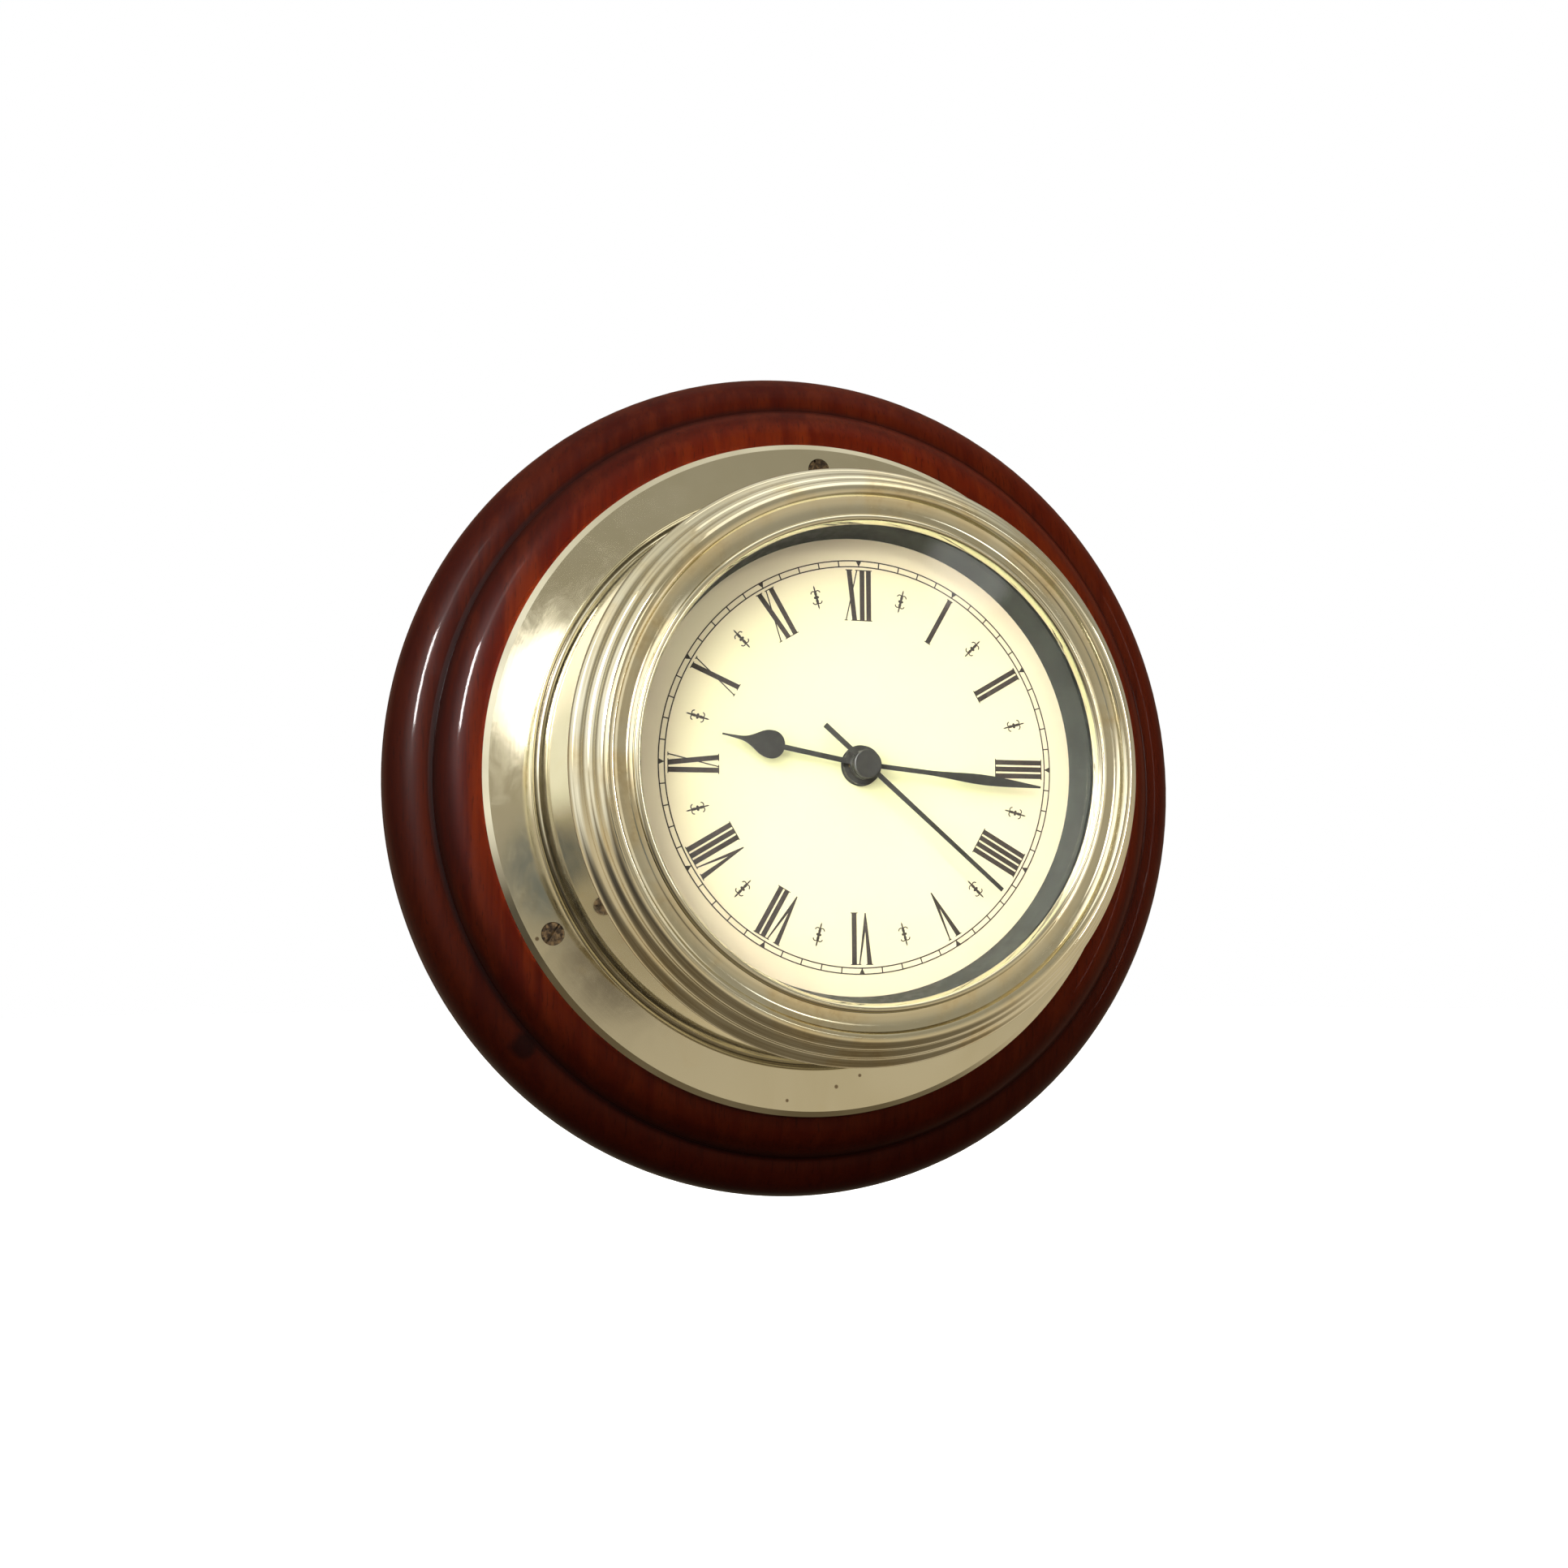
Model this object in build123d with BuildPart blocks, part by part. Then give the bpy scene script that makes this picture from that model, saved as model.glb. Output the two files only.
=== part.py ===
"""A brass ship's deck clock on a turned wooden plinth, with its quartz movement.

Millimetres, Z up, the dial faces -Y. The origin is on the wall, at the centre of the plinth's back.
Depths are measured backwards from the dial's face, so a negative depth is in front of the dial.
"""
import os
from math import cos, pi, radians, sin

from build123d import *

# Overall sizes
DIAL_Y = -57.5
PLINTH_RADIUS = 113.0
PLINTH_OPENING_R = 52.0
FLANGE_RADIUS = 90.0
DRUM_RADIUS = 74.2
DRUM_INNER_R = 72.6

# Plinth section, as radius and Y
SEAT_Y = -24.5
SEAT_RADIUS = 91.0
INNER_ROLL_MID = (97.6, -22.6)
INNER_ROLL_END = (101.3, -18.6)
QUIRK_FLOOR = (101.4, -17.2)
OUTER_ROLL_START = (102.6, -16.9)
OUTER_ROLL_MID = (109.6, -14.2)
OUTER_ROLL_END = (113.0, -6.2)
PLINTH_BACK_MID = (112.6, -2.4)
PLINTH_BACK_R = 110.4

# Hanger let into the back of the plinth
HANGER_Z = 82.0
HANGER_W = 18.0
HANGER_H = 38.0
HANGER_T = 1.6
HANGER_CORNER_R = 3.0
KEYHOLE_ENTRY_R = 4.6
KEYHOLE_SLOT_R = 2.3
KEYHOLE_RISE = 9.0
KEYHOLE_DROP = 4.0
HEAD_POCKET_W = 13.0
HEAD_POCKET_H = 25.0
HEAD_POCKET_T = 8.0
HANGER_SCREW_SPREAD = 15.5
HANGER_SCREW_R = 1.3
HANGER_SCREW_HEAD_R = 2.4
HANGER_SCREW_LENGTH = 9.0

# Flange screws
SCREW_CIRCLE_R = 83.1
SCREW_COUNT = 3
FLANGE_SCREW_HEAD_R = 2.95
FLANGE_SCREW_HOLE_R = 3.0
FLANGE_SCREW_RECESS = 0.35
FLANGE_SCREW_HEAD_T = 1.1
FLANGE_SCREW_R = 1.6
FLANGE_SCREW_LENGTH = 15.0
FLANGE_SCREW_SLOT_TURN = 25.0
SCREW_SLOT_W = 0.6
SCREW_SLOT_DEPTH = 0.5

# Brass case section, as radius and depth
FLANGE_FRONT_DEPTH = 30.3
FLANGE_BEVEL = (88.5, 30.4)
FLANGE_EDGE_DEPTH = 31.6
FLANGE_INNER_R = 78.0
FLANGE_LIP_MID = (77.6, 30.4)
FLANGE_LIP_END = (77.3, 30.8)
QUIRK_BOTTOM = (76.5, 31.5)
DRUM_FOOT = (75.7, 31.0)
DRUM_BASE = (75.4, 29.2)
DRUM_FRONT_DEPTH = -2.5

# Bezel section, as radius and depth
BEZEL_BACK = (74.4, -2.6)
RIM_BEAD_MID = (74.9, -4.1)
RIM_BEAD_END = (73.9, -5.6)
RIM_COVE_MID = (72.8, -6.8)
RIM_COVE_END = (72.3, -8.2)
SIDE_BEAD_MID = (72.0, -9.4)
SIDE_BEAD_END = (71.0, -10.3)
SIDE_COVE_MID = (70.4, -10.9)
SIDE_COVE_END = (70.1, -11.9)
CREST_MID = (68.7, -14.35)
CREST_END = (66.2, -14.4)
CREST_FOOT = (65.6, -13.3)
BAND_MID = (63.4, -12.9)
BAND_END = (61.2, -13.0)
GLASS_SEAT_DEPTH = -11.7
GLASS_POCKET_R = 62.6
POCKET_BACK_DEPTH = -5.6
SPIGOT_ROOT = (69.6, -5.6)
SPIGOT_INNER_R = 71.0
SPIGOT_OUTER_R = 72.54
SPIGOT_END_DEPTH = 2.4
SPIGOT_SHOULDER_DEPTH = -2.6

# Sight ring, glass, gasket and retaining ring
SIGHT_RING_INNER_R = 58.9
SIGHT_RING_LAND_DEPTH = -12.3
SIGHT_RING_FRONT_R = 59.5
SIGHT_RING_FRONT_DEPTH = -13.9
SIGHT_RING_ROUND_MID = (60.2, -14.2)
SIGHT_RING_OUTER_DEPTH = -13.7
SIGHT_RING_OUTER_R = 61.1
GLASS_RADIUS = 62.4
GLASS_T = 2.0
GASKET_INNER_R = 60.7
GASKET_T = 0.9
RETAINER_INNER_R = 61.0
RETAINER_T = 0.9
RETAINER_GAP_DEG = 6.0

# Reveal ring, dial and carrier
REVEAL_INNER_BACK_R = 57.6
REVEAL_INNER_FRONT_R = 59.7
REVEAL_FRONT_DEPTH = -7.9
REVEAL_WALL = 0.7
REVEAL_FLANGE_R = 70.0
REVEAL_FLANGE_T = 0.9
DIAL_RADIUS = 68.0
DIAL_T = 0.8
DIAL_SCREW_CIRCLE_R = 64.5
DIAL_SCREW_R = 1.0
DIAL_SCREW_HEAD_R = 1.9
DIAL_SCREW_HEAD_T = 1.2
DIAL_SCREW_LENGTH = 2.9
DIAL_SCREW_START = 30.0
CARRIER_INNER_R = 50.0
CARRIER_STEP_R = 70.6
CARRIER_T = 1.2
CARRIER_STEP_DEPTH = 3.2
CARRIER_BACK_DEPTH = 9.0

# Dial print
PRINT_T = 0.06
TRACK_OUTER_R = 52.0
TRACK_INNER_R = 50.5
TRACK_LINE_W = 0.3
MINUTE_COUNT = 60
HOUR_COUNT = 12
HOUR_MARK_W = 1.5
NUMERAL_TOP_R = 49.6
NUMERAL_FOOT_R = 36.8
THICK_STROKE_W = 1.27
THIN_STROKE_W = 0.3
STROKE_PITCH = 1.74
THIN_GAP = 1.38
V_WIDTH = 2.65
V_APEX_X = 0.95
V_NOTCH_X = 1.1
V_NOTCH_RISE = 4.6
X_WIDTH = 2.1
X_THICK_LEAN = 1.45
X_THIN_FOOT_X = -0.85
NUMERALS = ["XII", "I", "II", "III", "IIII", "V", "VI", "VII", "VIII", "IX", "X", "XI"]
SERIF_T = 0.24
SERIF_OVERHANG = 0.28
ORNAMENT_R = 43.6
ORNAMENT_HALF_LENGTH = 3.1
ORNAMENT_LINE_W = 0.36
ORNAMENT_TIP_L = 0.5
ORNAMENT_BOSS_W = 1.4
ORNAMENT_BOSS_H = 0.8
ORNAMENT_BODY_R = 0.36
ORNAMENT_BODY_OFFSET = 0.95
ORNAMENT_ARM_R = 0.6
ORNAMENT_ARM_W = 0.27
ORNAMENT_ARM_OFFSET = 1.05

# Hands, as lengths from the centre and depths
HOUR_ANGLE = 280.6
MINUTE_ANGLE = 95.9
SECOND_ANGLE = 130.9
HAND_BOSS_R = 3.7
HAND_BLADE_T = 0.3
HOUR_BOSS_DEPTH = -3.4
HOUR_BOSS_T = 1.0
HOUR_BLADE_DEPTH = -3.1
HOUR_TIP = 37.3
HOUR_STEM_W = 1.3
HOUR_BULB_START = 21.2
HOUR_BULB_CENTRE = 24.7
HOUR_BULB_HALF_W = 3.5
HOUR_BULB_NECK = 31.4
HOUR_NECK_HALF_W = 0.7
HOUR_TIP_HALF_W = 0.22
HOUR_BULB_BACK_MID = (22.1, 2.5)
HOUR_SHOULDER = (28.4, 2.2)
HOUR_TIP_MID = (34.0, 0.36)
MINUTE_BOSS_DEPTH = -4.55
MINUTE_BOSS_T = 0.9
MINUTE_BLADE_DEPTH = -4.25
MINUTE_TIP = 47.7
MINUTE_STEM_HALF_W = 0.6
MINUTE_SWELL_START = 16.0
MINUTE_SWELL_AT = 30.5
MINUTE_SWELL_HALF_W = 1.3
MINUTE_TIP_HALF_W = 0.25
MINUTE_TIP_TANGENT = (1, -0.08)
MINUTE_BOSS_R = 3.65
SECOND_CAP_DEPTH = -5.9
SECOND_CAP_T = 1.1
SECOND_CAP_R = 3.6
SECOND_CAP_ROUND = 0.35
SECOND_BLADE_DEPTH = -5.3
SECOND_TIP = 47.6
SECOND_TAIL = 14.5
SECOND_HALF_W = 0.52
SECOND_TAIL_HALF_W = 0.68

# Fixing of the movement to the dial
BUSH_R = 3.5
BUSH_BORE_R = 2.76
BUSH_FRONT_DEPTH = -2.2
BUSH_COLLAR_R = 4.4
BUSH_COLLAR_T = 0.8
HUB_WASHER_R = 5.15
HUB_WASHER_T = 0.4
HUB_NUT_R = 4.9
HUB_NUT_T = 1.5
HUB_NUT_SLOT_W = 1.2
HUB_NUT_SLOT_DEPTH = 0.7
RUBBER_WASHER_R = 9.0
RUBBER_WASHER_T = 0.5

# Movement case
CASE_W = 56.0
CASE_CORNER_R = 4.0
CASE_WALL = 1.2
CASE_FRONT_DEPTH = 1.3
CASE_PLATE_T = 1.2
CASE_SPLIT_DEPTH = 10.0
CASE_BACK_DEPTH = 17.3
CASE_BACK_T = 1.5
BAY_WALL_TOP_Z = -11.05
BAY_WALL_T = 1.0
CASE_SCREW_AT = [(24.2, 24.2), (-24.2, 24.2), (24.2, -7.6)]
CASE_POST_R = 2.2
CASE_SCREW_R = 0.9
CASE_SCREW_HEAD_R = 1.7
CASE_SCREW_HEAD_T = 1.0
CASE_SCREW_LENGTH = 10.0

# Train plates
PLATE_CENTRE = (1.0, 1.0)
PLATE_W = 33.0
PLATE_H = 22.8
PLATE_CORNER_R = 2.0
MIDDLE_PLATE_DEPTH = 6.3
MIDDLE_PLATE_T = 0.6
BRIDGE_DEPTH = 12.0
BRIDGE_T = 0.8
PLATE_POST_AT = [(-13.5, -8.6), (15.5, -8.6), (-13.5, 10.4), (15.5, 10.4)]
PLATE_POST_R = 1.2
PIVOT_R = 0.35
PIVOT_HOLE_R = 0.4

# Gears: numbers of teeth, modules, and shape in modules
HOUR_TEETH = 40
MINUTE_PINION_TEETH = 10
MOTION_MODULE = 0.4032
MINUTE_TEETH = 36
CANNON_TEETH = 12
SETTING_TEETH = 12
CANNON_MODULE = 0.42
CENTRE_TEETH = 64
THIRD_PINION_TEETH = 8
CENTRE_MODULE = 0.25
THIRD_TEETH = 60
SECONDS_PINION_TEETH = 8
THIRD_MODULE = 18 / 68
SECONDS_TEETH = 50
INTERMEDIATE_PINION_TEETH = 10
SECONDS_MODULE = 0.22
INTERMEDIATE_TEETH = 60
ROTOR_TEETH = 10
INTERMEDIATE_MODULE = 0.18
WHEEL_ADDENDUM = 0.85
PINION_ADDENDUM = 0.7
DEDENDUM = 1.15
WHEEL_TOOTH_W = 0.4
PINION_TOOTH_W = 0.36
TIP_SHARE = 0.55
TIP_WIDTH_SHARE = 0.78

# Arbor bearings, degrees anticlockwise from +X seen from the front
THIRD_BEARING = 0.0
MINUTE_BEARING = 100.0
SETTING_BEARING = 45.0
INTERMEDIATE_BEARING = 150.0
ROTOR_BEARING = 200.0

# Depths and thicknesses of the wheels
WHEEL_T = 0.8
THIN_WHEEL_T = 0.6
PINION_T = 1.0
HOUR_WHEEL_DEPTH = 2.7
HOUR_TUBE_R = 2.7
HOUR_TUBE_BORE_R = 1.86
MINUTE_WHEEL_DEPTH = 3.8
MINUTE_PINION_DEPTH = 2.6
MINUTE_PIN_R = 0.55
MINUTE_BORE_R = 0.6
MINUTE_PIN_END_DEPTH = 5.0
CANNON_PINION_DEPTH = 3.75
CANNON_R = 1.8
CANNON_BORE_R = 0.66
CANNON_BACK_DEPTH = 6.15
CENTRE_WHEEL_DEPTH = 5.3
THIRD_PINION_DEPTH = 5.2
THIRD_WHEEL_DEPTH = 7.2
THIN_ARBOR_R = 0.5
SECONDS_PINION_DEPTH = 7.0
SECONDS_WHEEL_DEPTH = 9.0
SECONDS_ARBOR_R = 0.6
SECONDS_HUB_R = 1.2
INTERMEDIATE_PINION_DEPTH = 8.8
INTERMEDIATE_WHEEL_DEPTH = 10.8
ROTOR_PINION_DEPTH = 10.6
MAGNET_R = 2.6
MAGNET_DEPTH = 7.4
MAGNET_T = 2.5
PIVOT_LENGTH = 0.5
SHAFT_SHOULDER = 0.15

# Setting knob
SETTING_SHAFT_R = 1.2
SETTING_HOLE_R = 1.26
KNOB_R = 5.5
KNOB_DEPTH = 17.8
KNOB_T = 3.0
KNOB_FLUTES = 18
KNOB_FLUTE_R = 0.45

# Motor and circuit
STATOR_DEPTH = 8.2
STATOR_T = 1.0
STATOR_LEFT_X = -15.2
STATOR_RIGHT_X = -8.0
STATOR_ARM_END_X = -24.5
STATOR_ARM_W = 3.0
STATOR_HOLE_R = 3.1
CORE_X = -22.0
CORE_W = 3.0
CORE_T = 1.0
BOBBIN_FLANGE_R = 3.9
BOBBIN_FLANGE_T = 0.6
BOBBIN_TUBE_R = 2.1
BOBBIN_LOW_Z = -5.8
BOBBIN_HIGH_Z = 7.6
COIL_R = 3.7
BOARD_CENTRE = (-11.0, 19.4)
BOARD_W = 20.0
BOARD_H = 11.0
BOARD_T = 0.8
BOARD_DEPTH = 13.4
BOARD_PEG_AT = [(-18.6, 22.6), (-3.4, 16.2)]
BOARD_PEG_R = 1.1
CHIP_AT = (-12.5, 18.4)
CHIP_R = 2.6
CHIP_T = 0.9
CRYSTAL_AT = (-9.5, 21.8)
CRYSTAL_R = 1.0
CRYSTAL_LENGTH = 6.0

# Battery and contacts
BATTERY_Z = -19.45
BATTERY_DEPTH = 9.95
BATTERY_R = 7.2
BATTERY_CAN_R = 7.05
BATTERY_LEFT_X = -24.3
BATTERY_RIGHT_X = 24.9
BATTERY_NUB_R = 2.7
BATTERY_NUB_T = 1.0
SLEEVE_MARGIN = 0.8
CONTACT_T = 0.4
CONTACT_W = 8.0
CONTACT_H = 9.0
CONTACT_X = 26.4
SPRING_R = 2.6
SPRING_TIP_R = 1.8
SPRING_WIRE_R = 0.22
SPRING_PITCH = 0.6
SPRING_LENGTH = 1.2


# Turns a primitive's axis to run from the back towards the front, standing on its own base
INTO_WALL_SIDE = (90, 0, 0)
STAND = (Align.CENTER, Align.CENTER, Align.MIN)


def plane_at(depth):
    """The plane facing the viewer at a depth behind the dial's face."""
    return Plane.XZ.offset(-(DIAL_Y + depth))


def at_depth(point):
    """A section point given as radius and depth, turned into radius and Y."""
    return (point[0], DIAL_Y + point[1])


def step_to(start, bearing, distance):
    """The point a distance away from another along a bearing."""
    return (start[0] + distance * cos(radians(bearing)), start[1] + distance * sin(radians(bearing)))


def centre_distance(module, teeth_a, teeth_b):
    """How far apart two meshing gears stand."""
    return module * (teeth_a + teeth_b) / 2


def meshed_phase(phase, teeth, bearing, other_teeth):
    """The turn that puts a gap of the second gear on a tooth of the first."""
    share = 0.5 + (phase - bearing) * teeth / 360
    return bearing + 180 - share * 360 / other_teeth


def slot_across(radius, angle=0.0):
    """A screwdriver slot's outline."""
    with BuildSketch() as slot:
        Rectangle(2 * radius, SCREW_SLOT_W, rotation=angle)
    return slot.sketch


def gear_outline(teeth, module, addendum, tooth_share, bore):
    """A clock gear: radial flanks up to the pitch circle and rounded points above it."""
    pitch_r = teeth * module / 2
    root_r = pitch_r - DEDENDUM * module
    tip_r = pitch_r + addendum * module
    half = tooth_share * pi / teeth
    shoulder_r = pitch_r + TIP_SHARE * addendum * module
    shoulder = half * TIP_WIDTH_SHARE
    floor_r = root_r * cos(half)
    with BuildSketch() as tooth:
        with BuildLine():
            Polyline(
                (pitch_r * cos(half), -pitch_r * sin(half)),
                (floor_r * cos(half), -floor_r * sin(half)),
                (floor_r * cos(half), floor_r * sin(half)),
                (pitch_r * cos(half), pitch_r * sin(half)),
            )
            ThreePointArc(
                (pitch_r * cos(half), pitch_r * sin(half)),
                (shoulder_r * cos(shoulder), shoulder_r * sin(shoulder)),
                (tip_r, 0),
            )
            ThreePointArc(
                (tip_r, 0),
                (shoulder_r * cos(shoulder), -shoulder_r * sin(shoulder)),
                (pitch_r * cos(half), -pitch_r * sin(half)),
            )
        make_face()
    with BuildSketch() as gear:
        Circle(root_r)
        with PolarLocations(0, teeth):
            add(tooth.sketch)
        if bore:
            Circle(bore, mode=Mode.SUBTRACT)
    return gear.sketch


MINUTE_AT = step_to((0, 0), MINUTE_BEARING, centre_distance(CANNON_MODULE, CANNON_TEETH, MINUTE_TEETH))
SETTING_AT = step_to(MINUTE_AT, SETTING_BEARING, centre_distance(CANNON_MODULE, MINUTE_TEETH, SETTING_TEETH))
THIRD_AT = step_to((0, 0), THIRD_BEARING, centre_distance(CENTRE_MODULE, CENTRE_TEETH, THIRD_PINION_TEETH))
INTERMEDIATE_AT = step_to(
    (0, 0), INTERMEDIATE_BEARING, centre_distance(SECONDS_MODULE, SECONDS_TEETH, INTERMEDIATE_PINION_TEETH)
)
ROTOR_AT = step_to(
    INTERMEDIATE_AT, ROTOR_BEARING, centre_distance(INTERMEDIATE_MODULE, INTERMEDIATE_TEETH, ROTOR_TEETH)
)


MINUTE_PHASE = meshed_phase(0, CANNON_TEETH, MINUTE_BEARING, MINUTE_TEETH)
HOUR_PHASE = meshed_phase(0, MINUTE_PINION_TEETH, MINUTE_BEARING + 180, HOUR_TEETH)
SETTING_PHASE = meshed_phase(MINUTE_PHASE, MINUTE_TEETH, SETTING_BEARING, SETTING_TEETH)
THIRD_PINION_PHASE = meshed_phase(0, CENTRE_TEETH, THIRD_BEARING, THIRD_PINION_TEETH)
SECONDS_PINION_PHASE = meshed_phase(0, THIRD_TEETH, THIRD_BEARING + 180, SECONDS_PINION_TEETH)
INTERMEDIATE_PINION_PHASE = meshed_phase(0, SECONDS_TEETH, INTERMEDIATE_BEARING, INTERMEDIATE_PINION_TEETH)
ROTOR_PHASE = meshed_phase(0, INTERMEDIATE_TEETH, ROTOR_BEARING, ROTOR_TEETH)


def make_plinth():
    """Turned plinth with two rolls, an opening for the movement and a pocket for the hanger."""
    with BuildPart() as plinth:
        with BuildSketch(Plane.XY):
            with BuildLine():
                Polyline(
                    (PLINTH_BACK_R, 0),
                    (PLINTH_OPENING_R, 0),
                    (PLINTH_OPENING_R, SEAT_Y),
                    (SEAT_RADIUS, SEAT_Y),
                )
                ThreePointArc((SEAT_RADIUS, SEAT_Y), INNER_ROLL_MID, INNER_ROLL_END)
                Polyline(INNER_ROLL_END, QUIRK_FLOOR, OUTER_ROLL_START)
                ThreePointArc(OUTER_ROLL_START, OUTER_ROLL_MID, OUTER_ROLL_END)
                ThreePointArc(OUTER_ROLL_END, PLINTH_BACK_MID, (PLINTH_BACK_R, 0))
            make_face()
        revolve(axis=Axis.Y)
        with BuildSketch(Plane.XZ):
            with Locations((0, HANGER_Z)):
                RectangleRounded(HANGER_W, HANGER_H, HANGER_CORNER_R)
        extrude(amount=HANGER_T, mode=Mode.SUBTRACT)
        with BuildSketch(Plane.XZ):
            with Locations((0, HANGER_Z)):
                RectangleRounded(HEAD_POCKET_W, HEAD_POCKET_H, HANGER_CORNER_R)
        extrude(amount=HEAD_POCKET_T, mode=Mode.SUBTRACT)
        with BuildSketch(Plane.XZ):
            with Locations((0, HANGER_Z - HANGER_SCREW_SPREAD), (0, HANGER_Z + HANGER_SCREW_SPREAD)):
                Circle(HANGER_SCREW_R)
        extrude(amount=HANGER_SCREW_LENGTH, mode=Mode.SUBTRACT)
        with BuildSketch(Plane.XZ.offset(-SEAT_Y)):
            with PolarLocations(SCREW_CIRCLE_R, SCREW_COUNT, start_angle=90):
                Circle(FLANGE_SCREW_R)
        extrude(amount=-(FLANGE_SCREW_LENGTH + DIAL_Y + FLANGE_FRONT_DEPTH - SEAT_Y), mode=Mode.SUBTRACT)
    return plinth


def make_hanger_plate():
    """Brass keyhole plate let into the plinth's back."""
    with BuildPart() as plate:
        with BuildSketch(Plane.XZ):
            with Locations((0, HANGER_Z)):
                RectangleRounded(HANGER_W, HANGER_H, HANGER_CORNER_R)
            with Locations((0, HANGER_Z - KEYHOLE_DROP)):
                Circle(KEYHOLE_ENTRY_R, mode=Mode.SUBTRACT)
            with Locations((0, HANGER_Z - KEYHOLE_DROP + KEYHOLE_RISE / 2)):
                Rectangle(2 * KEYHOLE_SLOT_R, KEYHOLE_RISE, mode=Mode.SUBTRACT)
            with Locations((0, HANGER_Z - KEYHOLE_DROP + KEYHOLE_RISE)):
                Circle(KEYHOLE_SLOT_R, mode=Mode.SUBTRACT)
        extrude(amount=HANGER_T)
        with Locations((0, 0, HANGER_Z - HANGER_SCREW_SPREAD), (0, 0, HANGER_Z + HANGER_SCREW_SPREAD)):
            Cone(HANGER_SCREW_HEAD_R, HANGER_SCREW_R, HANGER_T, rotation=INTO_WALL_SIDE, align=STAND, mode=Mode.SUBTRACT)
    return plate


def make_hanger_screws():
    """Two countersunk slotted wood screws that hold the hanger plate."""
    with BuildPart() as screws:
        with Locations((0, 0, HANGER_Z - HANGER_SCREW_SPREAD), (0, 0, HANGER_Z + HANGER_SCREW_SPREAD)):
            Cone(HANGER_SCREW_HEAD_R, HANGER_SCREW_R, HANGER_T, rotation=INTO_WALL_SIDE, align=STAND)
            Cylinder(HANGER_SCREW_R, HANGER_SCREW_LENGTH, rotation=INTO_WALL_SIDE, align=STAND)
        with BuildSketch(Plane.XZ):
            with Locations((0, HANGER_Z - HANGER_SCREW_SPREAD), (0, HANGER_Z + HANGER_SCREW_SPREAD)):
                add(slot_across(HANGER_SCREW_HEAD_R))
        extrude(amount=SCREW_SLOT_DEPTH, mode=Mode.SUBTRACT)
    return screws


def make_case_body():
    """Turned brass case: a flat flange with a bevelled edge, a narrow quirk, and a tapered drum."""
    lip_start = at_depth((FLANGE_INNER_R, FLANGE_FRONT_DEPTH))
    with BuildPart() as case:
        with BuildSketch(Plane.XY):
            with BuildLine():
                Polyline(
                    at_depth(FLANGE_LIP_END),
                    at_depth(QUIRK_BOTTOM),
                    at_depth(DRUM_FOOT),
                    at_depth(DRUM_BASE),
                    at_depth((DRUM_RADIUS, DRUM_FRONT_DEPTH)),
                    at_depth((DRUM_INNER_R, DRUM_FRONT_DEPTH)),
                    (DRUM_INNER_R, SEAT_Y),
                    (FLANGE_RADIUS, SEAT_Y),
                    at_depth((FLANGE_RADIUS, FLANGE_EDGE_DEPTH)),
                    at_depth(FLANGE_BEVEL),
                    lip_start,
                )
                ThreePointArc(lip_start, at_depth(FLANGE_LIP_MID), at_depth(FLANGE_LIP_END))
            make_face()
        revolve(axis=Axis.Y)
        with BuildSketch(plane_at(FLANGE_FRONT_DEPTH)):
            with PolarLocations(SCREW_CIRCLE_R, SCREW_COUNT, start_angle=90):
                Circle(FLANGE_SCREW_HOLE_R)
        extrude(amount=SEAT_Y, both=True, mode=Mode.SUBTRACT)
    return case


def make_flange_screws():
    """Three slotted screws that hold the brass case on the plinth."""
    head_plane = plane_at(FLANGE_FRONT_DEPTH + FLANGE_SCREW_RECESS)
    with BuildPart() as screws:
        with BuildSketch(head_plane):
            with PolarLocations(SCREW_CIRCLE_R, SCREW_COUNT, start_angle=90):
                Circle(FLANGE_SCREW_HEAD_R)
        extrude(amount=-FLANGE_SCREW_HEAD_T)
        with BuildSketch(head_plane):
            with PolarLocations(SCREW_CIRCLE_R, SCREW_COUNT, start_angle=90):
                Circle(FLANGE_SCREW_R)
        extrude(amount=-FLANGE_SCREW_LENGTH + FLANGE_SCREW_RECESS)
        with BuildSketch(head_plane):
            with PolarLocations(SCREW_CIRCLE_R, SCREW_COUNT, start_angle=90):
                add(slot_across(FLANGE_SCREW_HEAD_R, FLANGE_SCREW_SLOT_TURN))
        extrude(amount=-SCREW_SLOT_DEPTH, mode=Mode.SUBTRACT)
    return screws


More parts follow.
